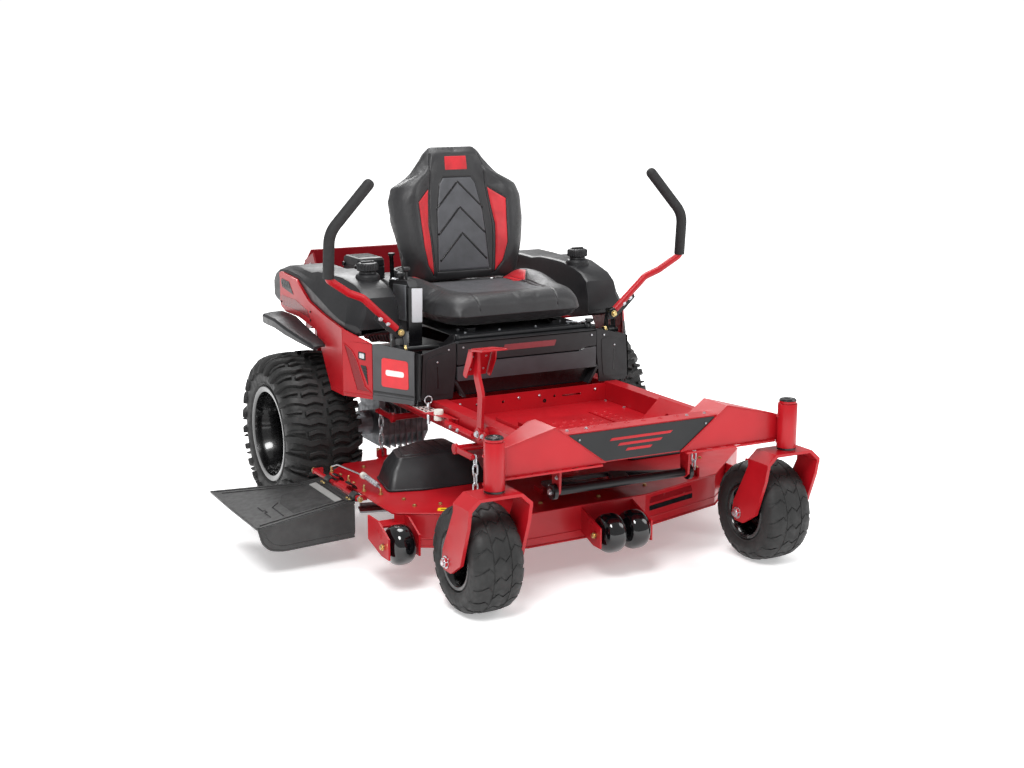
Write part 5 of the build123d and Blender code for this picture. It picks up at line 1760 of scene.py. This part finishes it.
def build_chains():
    """Welded chain: stadium links, every other one turned a quarter, with a shackle bolt through the lowest link."""
    shape = Shape()
    for way in (-1, 1):
        for y in (-680, 44):
            x_mid = way * 408
            for index in range(5):
                z = 268 + 29.6 * index
                turned = index % 2 == 0
                link = []
                for k in range(25):
                    angle = 2 * pi * k / 24
                    u = 7.6 * cos(angle)
                    v = 7.6 * sin(angle) + (10.5 if sin(angle) > 1e-6 else -10.5 if sin(angle) < -1e-6 else 0)
                    link.append(at(x_mid + (0 if turned else u), y + (u if turned else 0), z + v))
                shape.tube(link, 2.7, 10, 0, capped=False)
            shape.bolt(at(x_mid + way * 10, y, 259), (way, 0, 0), 6, 1)
    make_piece("lift_chains_welded", shape, "deck", ["zinc_plated_steel", "yellow_zinc_steel"], sharp=50,
               replaces=("lift_chains",))


def build_roller(node, body, centres, half, ends):
    """Turned gloss-black roller balls on one axle, with zinc washers and nuts at the ends."""
    shape = Shape()
    y, z = box_middle(node).y, box_middle(node).z
    profile = [(-half, 9), (-half, 28), (-half + 3, 34)]
    for k in range(17):
        t = -1 + 2 * k / 16
        profile.append((t * (half - 3), 34 + 28 * sqrt(max(0, 1 - abs(t) ** 2.6))))
    profile += [(half - 3, 34), (half, 28), (half, 9)]
    for x in centres:
        shape.lathe(profile, Vector((at(x, 0, 0).x, y, z)), LEFTWARD, 64, 0)
    low, high = ends
    shape.disc(low, high, 0.5, 7.9, Vector((DATUM.x, y, z)), LEFTWARD, 20, 1)
    for x, way in ((low, -1), (high, 1)):
        shape.bolt(Vector((at(x - way * 3, 0, 0).x, y, z)), (way, 0, 0), 9, 1)
    make_piece(f"{node}_turned", shape, body, ["enamelled_roller_black", "yellow_zinc_steel"], sharp=34,
               replaces=(node,))


def build_deck_details():
    """Spindle bolts, weld seams, a blank label, slots in the roller brackets and the stiffening edge."""
    shape = Shape()
    for index in (-1, 0, 1):
        x, y = SPINDLE_X + SPINDLE_GAP * index, -410 if index == 0 else -300
        for k in range(6):
            angle = 2 * pi * k / 6 + 0.26
            shape.bolt(at(x + 50 * cos(angle), y + 50 * sin(angle), 246), UP, 6.5, 0)
    rim = [(-640, -600), (-290, -800), (147, -788), (490, -690), (762, -446), (762, -80), (660, 20), (450, 20)]
    for z, radius in ((124, 3.4), (230, 2.6)):
        shape.tube([at(x * 0.9995, y - 0.5, z) for x, y in rim], radius, 8, 1)
    low_edge = [at(x, y, 150) for x, y in rim[:5]]
    shape.tube(low_edge, 2.0, 8, 1)
    label = rounded([(-520, -640), (-440, -686), (-424, -660), (-504, -614)], 5)
    shape.slab_z(label, 231.6, 232.6, 2)
    for row in range(3):
        u = -506 + 20 * row
        shape.slab_z([(u, -636 - 11.5 * row), (u + 12, -643 - 11.5 * row), (u + 16, -636 - 11.5 * row),
                      (u + 4, -629 - 11.5 * row)], 232.4, 232.9, 3)
    for x in (-96, 96, -718, -612, 612, 718):
        way = -1 if x in (-96, -718, 612) else 1
        y0 = -880 if abs(x) < 100 else -680
        for dy, dz in ((22, 26), (44, 40)):
            shape.disc(0, 1, 3, 9, at(x, y0 + dy, 157 + dz), (way, 0, 0), 18, 1)
    for x, y in ((-560, -560), (-560, -480), (-480, -580), (300, -650), (420, -610), (560, -500), (-200, -720),
                 (0, -740), (200, -700), (640, -200), (600, -60), (-520, -60)):
        shape.bolt(at(x, y, 232), UP, 6.5, 0)
    # Plain two-tone strip on the sloping front of the deck.
    run = Vector((490 - 147, -690 + 788)).normalized()

    def face(u, v, w):
        return at(147 + run.x * u + run.y * w, -788 + run.y * u - run.x * w, v)

    shape.prism([(20, 196), (236, 196), (228, 216), (28, 216)], -0.5, 1.0, face, 4)
    shape.prism([(20, 172), (236, 172), (236, 188), (20, 188)], -0.5, 1.0, face, 3)
    make_piece("deck_fittings", shape, "deck",
               ["yellow_zinc_steel", "powder_coated_steel_red", "printed_label_yellow", "moulded_nylon_gloss",
                "powder_coated_steel_deep"],
               bevel_mm=0.4, sharp=34)


def build_spring_damper():
    """Short black spring beside the right roller bracket."""
    shape = Shape()
    start, end = at(-540, -632, 150), at(-540, -632, 214)
    shape.tube([start, end], 8, 16, 1)
    spring(shape, start, end, 12, 2.2, 8, 0)
    for spot, way in ((start, -1), (end, 1)):
        shape.disc(0, 3, 0.5, 15, spot, (0, 0, way), 20, 1)
    make_piece("deck_side_spring", shape, "deck", ["powder_coated_steel_black", "zinc_plated_steel"], sharp=40)


class MOWER_OT_deck(bpy.types.Operator):
    """Deflector and its hinge, belt covers, chains, rollers, bolts and labels"""

    bl_idname = "mower.deck"
    bl_label = "Cutting deck"

    def execute(self, context):
        build_deflector()
        build_chute_hardware()
        for name, side in SIDES.items():
            build_belt_cover(name, side)
            build_roller(f"{name}_roller", f"{name}_roller", (side * 665,), 41, (side * 665 - 60, side * 665 + 60))
        build_roller("centre_rollers", "centre_roller", (-43, 43), 40, (-104, 104))
        build_chains()
        build_deck_details()
        build_spring_damper()
        return {"FINISHED"}


# ---- console, engine and rear ----
def build_console():
    """Right-hand post with a dark face bar, a brushed plate, a gaiter slot and a key escutcheon."""
    shape = Shape()
    shape.slab_x([(-92, 600), (-92, 682), (-84, 842), (-60, 862), (-44, 861), (-44, 600)], -351, -319, 0)
    shape.slab_x([(-8, 600), (-8, 857), (86, 848), (86, 600)], -351, -319, 0)
    shape.slab_x([(-46, 600), (-46, 830), (-6, 830), (-6, 600)], -350.8, -319.2, 0)
    for low, high in ((-351, -348), (-322, -319)):
        shape.slab_x([(-46, 826), (-46, 861), (-6, 857), (-6, 826)], low, high, 0)
    shape.slab_x(rounded([(-90, 640), (-90, 722), (-82, 846), (-66, 846), (-66, 640)], 4), -355, -350, 3)
    shape.slab_x(rounded([(-62, 724), (-62, 846), (44, 838), (44, 722)], 3), -355.5, -350, 1)
    shape.slab_y([(-360, 612), (-311, 612), (-311, 842), (-360, 842)], -96, -88, 3)
    shape.slab_y(rounded([(-349, 724), (-311, 722), (-309, 838), (-349, 840)], 3), -98, -94, 1)
    shape.lathe([(0, 8), (0, 16), (3, 15), (5, 11), (5, 8)], at(-335, 62, 851), UP, 28, 2)
    shape.lathe([(0, 8), (0, 17), (2.5, 16), (2.5, 8)], at(-335, 20, 853), UP, 28, 3)
    for z in (700, 640):
        shape.bolt(at(-351, 60, z), RIGHTWARD, 4.5, 2)
    make_piece("control_console_moulded", shape, "chassis",
               ["moulded_polypropylene_black", "brushed_aluminium_plate", "zinc_plated_steel", "moulded_nylon_gloss"],
               bevel_mm=0.8, sharp=30, replaces=("control_console",))


CRANK_Y = 500
SILENCER = (742, 560)


def around_crank(radius, angle, z):
    """Point on a circle about the vertical crankshaft."""
    return at(radius * cos(angle), CRANK_Y + radius * sin(angle), z)


def build_engine():
    """Finned twin-cylinder block with its rocker covers, silencer and oil filter."""
    shape = Shape()
    crank = at(0, CRANK_Y, 0)
    silencer = at(0, *SILENCER)
    shape.lathe([(490, 1), (490, 146), (500, 150), (560, 150), (566, 136), (640, 132), (640, 1)],
                crank, UP, 48, 0)
    for k in range(10):
        angle = 2 * pi * k / 10
        shape.bolt(around_crank(138, angle, 566), UP, 6, 3)
    for side in (-1, 1):
        along = Vector((side * 0.7071, 0.7071, 0))
        centre = at(side * 150, 560, 593)
        for k in range(12):
            near = -70 + 12 * k
            shape.disc(near, near + 4.5, 44, 60, centre, along, 32, 0)
        shape.disc(-72, 74, 1, 46, centre, along, 32, 0)
        cover = [(64, 1), (64, 52), (72, 54), (90, 50), (96, 40), (96, 1)]
        shape.lathe(cover, centre, along, 10, 1)
        shape.tube(arc_route([at(side * 190, 640, 560), at(side * 150, 720, 552), at(side * 110, 742, 560)], 30),
                   16, 16, 2)
    shape.lathe([(-150, 1), (-150, 50), (-144, 57), (144, 57), (150, 50), (150, 1)], silencer, LEFTWARD, 40, 2)
    for x in (-90, 0, 90):
        shape.lathe([(-4, 56), (-3, 59.5), (3, 59.5), (4, 56)], at(x, 742, 560), LEFTWARD, 40, 2)
    shape.tube([at(120, 742, 512), at(130, 790, 500)], 13, 20, 2)
    shape.lathe([(0, 1), (0, 36), (62, 36), (64, 33), (64, 1)], at(-120, 380, 520), FORWARD, 32, 4)
    shape.disc(60, 66, 1, 38, at(-120, 380, 520), FORWARD, 32, 3)
    make_piece("engine_block_finned", shape, "chassis",
               ["sand_cast_aluminium", "moulded_nylon_gloss", "heat_stained_steel", "zinc_plated_steel",
                "powder_coated_steel_black"], bevel_mm=0, sharp=32, replaces=("engine_block",))


def build_shroud():
    """Blower housing with its rotating screen, a wire grille and four corner bolts."""
    shroud = Shape()
    crank = at(0, CRANK_Y, 0)
    plan = [(-235, 380), (-160, 340), (160, 340), (235, 380), (235, 640), (150, 690), (-150, 690), (-235, 640)]

    def ring(z, scale, radius=40):
        scaled = [(u * scale, 515 + (v - 515) * scale) for u, v in plan]
        return [at(x, y, z) for x, y in rounded(scaled, radius, 5)]

    loft(shroud, [ring(700, 1.0), ring(742, 1.0), ring(766, 0.97), ring(786, 0.86), ring(790, 0.76)], 0)
    shroud.lathe([(784, 146), (784, 150), (806, 150), (812, 144), (812, 128), (802, 126), (802, 1), (784, 1)],
                 crank, UP, 64, 0)
    for k in range(24):
        angle = 2 * pi * k / 24
        shroud.tube([around_crank(38, angle, 807), around_crank(126, angle, 807)], 2.6, 8, 1)
    for radius in (40, 68, 97):
        loop = [around_crank(radius, 2 * pi * k / 40, 807) for k in range(41)]
        shroud.tube(loop, 2.6, 8, 1)
    shroud.lathe([(802, 1), (802, 40), (812, 36), (812, 1)], crank, UP, 32, 1)
    for x, y in ((-190, 400), (190, 400), (-190, 620), (190, 620)):
        shroud.bolt(at(x, y, 776), UP, 7, 2)
    make_piece("engine_shroud_formed", shroud, "chassis",
               ["moulded_polypropylene_black", "moulded_nylon_gloss", "zinc_plated_steel"], bevel_mm=1.0, sharp=30,
               replaces=("engine_shroud",))


def build_air_cleaner():
    """Filter box with a lid seam, top ribs and clips, and the dipstick beside it."""
    filter_box = Shape()
    box_plan = [(-300, 480), (-190, 480), (-190, 640), (-300, 640)]

    def box_ring(z, grow, radius=18):
        return [at(x, y, z) for x, y in rounded(
            [(-245 + (u + 245) * grow, 560 + (v - 560) * grow) for u, v in box_plan], radius, 5)]

    loft(filter_box, [box_ring(792, 1.0), box_ring(836, 1.0), box_ring(837, 0.97), box_ring(841, 0.97),
                      box_ring(842, 1.0), box_ring(862, 0.98), box_ring(870, 0.9), box_ring(872, 0.7)], 0)
    for k in range(7):
        y = 512 + 15 * k
        filter_box.block((-286, -204), (y, y + 6), (868, 873), 0)
    for y in (500, 616):
        filter_box.lathe([(0, 1), (0, 9), (8, 8), (8, 1)], at(-300, y, 840), RIGHTWARD, 20, 1)
    filter_box.tube(arc_route([at(-170, 470, 790), at(-170, 470, 850), at(-176, 462, 880)], 14), 8, 16, 1)
    filter_box.lathe([(0, 1), (0, 11), (3, 13), (9, 13), (10, 10), (10, 1)], at(-172, 468, 878), UP, 24, 0)
    make_piece("air_cleaner_moulded", filter_box, "chassis", ["moulded_polypropylene_black", "moulded_nylon_gloss"],
               bevel_mm=0.6, sharp=30, replaces=("air_cleaner",))


def build_rear_details():
    """Guard bolts and hemmed edges, transaxle ribs and hoses, hitch washer and frame fasteners."""
    shape = Shape()
    hem = [(-370, 562), (-380, 800), (-345, 866), (345, 866), (380, 800), (370, 562)]
    shape.tube([at(x, 847, z) for x, z in hem], 4.5, 10, 0)
    for x, z in ((-350, 600), (350, 600), (-350, 780), (350, 780), (-200, 840), (0, 840), (200, 840)):
        shape.bolt(at(x, 850, z), REARWARD, 7, 1)
    for side in (-1, 1):
        for y, z in ((780, 820), (780, 640)):
            shape.bolt(at(side * 373, y, z), (side, 0, 0), 7, 1)
        for k in range(7):
            x = 170 + 22 * k
            shape.block(sorted((side * x, side * (x + 5))), (207, 453), (213.5, 357), 2)
        pump = at(side * 240, 300, 384)
        shape.lathe([(0, 1), (0, 38), (6, 36), (6, 20), (22, 18), (22, 1)], pump, UP, 32, 3)
        shape.tube(arc_route([at(side * 262, 300, 392), at(side * 262, 330, 440), at(side * 250, 420, 452)], 26),
                   8, 14, 3)
        for y in (232, 428):
            shape.bolt(at(side * 200, y, 356), UP, 8, 1)
    for x in (-60, 60):
        for z in (434, 472):
            shape.disc(0, 2, 5.6, 11, at(x, 768, z), REARWARD, 24, 1)
    shape.disc(422, 424.5, 9.6, 20, at(0, 796, 0), UP, 32, 1)
    for x in (-220, -120, 120, 220):
        shape.bolt(at(x, 700, 490), UP, 7, 1)
    make_piece("rear_fittings", shape, "chassis",
               ["powder_coated_steel_guard", "zinc_plated_steel", "sand_cast_aluminium", "moulded_nylon_gloss"],
               bevel_mm=0, sharp=34)


def build_seat_hardware():
    """Slide rails, pivot bushes and their bolts, and the adjuster latch under the cushion."""
    shape = Shape()
    for side in (-1, 1):
        rail = [(-170, 692), (214, 692), (214, 702), (-170, 702)]
        shape.slab_x(rail, *sorted((side * 146, side * 184)), 0)
        for y in (-140, 180):
            shape.bolt(at(side * 198, y, 692), UP, 6, 1)
        shape.disc(-8, 8, 1, 13.6, at(side * 251, -236, 684), LEFTWARD, 28, 0)
        shape.bolt(at(side * 260, -236, 684), (side, 0, 0), 8, 2)
    latch = [at(196, -196, 698), at(226, -232, 700), at(262, -236, 704)]
    shape.tube(arc_route(latch, 12), 4, 12, 1)
    shape.lathe([(0, 1), (0, 9), (26, 7), (30, 4), (30, 1)], at(250, -236, 703), LEFTWARD, 20, 2)
    for x in (-200, -70, 70, 200):
        shape.bolt(at(x, -200, 692), UP, 5, 1)
    make_piece("seat_plate_hardware", shape, "seat_pan",
               ["powder_coated_steel_black", "zinc_plated_steel", "moulded_nylon_gloss"], bevel_mm=0.6, sharp=34)


class MOWER_OT_engine(bpy.types.Operator):
    """Console, engine, air cleaner, rear guard trim, transaxle details and seat hardware"""

    bl_idname = "mower.engine"
    bl_label = "Engine and console"

    def execute(self, context):
        build_console()
        build_engine()
        build_shroud()
        build_air_cleaner()
        build_rear_details()
        build_seat_hardware()
        return {"FINISHED"}


PIECE_OPERATORS = (
    MOWER_OT_coat_frame,
    MOWER_OT_drive_wheels,
    MOWER_OT_caster_wheels,
    MOWER_OT_seat,
    MOWER_OT_levers,
    MOWER_OT_panels,
    MOWER_OT_front_end,
    MOWER_OT_deck,
    MOWER_OT_engine,
    MOWER_OT_stage,
)


class MOWER_PT_panel(bpy.types.Panel):
    """Lists the settings and the pieces"""

    bl_label = "Zero turn mower"
    bl_space_type = "VIEW_3D"
    bl_region_type = "UI"
    bl_category = "Mower"

    def draw(self, context):
        layout = self.layout
        for group in (context.scene.mower_sizes, context.scene.mower_colours):
            for key in group.__annotations__:
                layout.prop(group, key)
        for operator in PIECE_OPERATORS:
            layout.operator(operator.bl_idname)


CLASSES = (MowerColours, MowerSizes, MOWER_PT_panel) + PIECE_OPERATORS


def register():
    for item in CLASSES:
        bpy.utils.register_class(item)
    bpy.types.Scene.mower_colours = PointerProperty(type=MowerColours)
    bpy.types.Scene.mower_sizes = PointerProperty(type=MowerSizes)


def unregister():
    del bpy.types.Scene.mower_sizes
    del bpy.types.Scene.mower_colours
    for item in reversed(CLASSES):
        bpy.utils.unregister_class(item)


def main():
    register()
    for operator in PIECE_OPERATORS:
        group, name = operator.bl_idname.split(".")
        getattr(getattr(bpy.ops, group), name)()


if __name__ == "__main__":
    main()
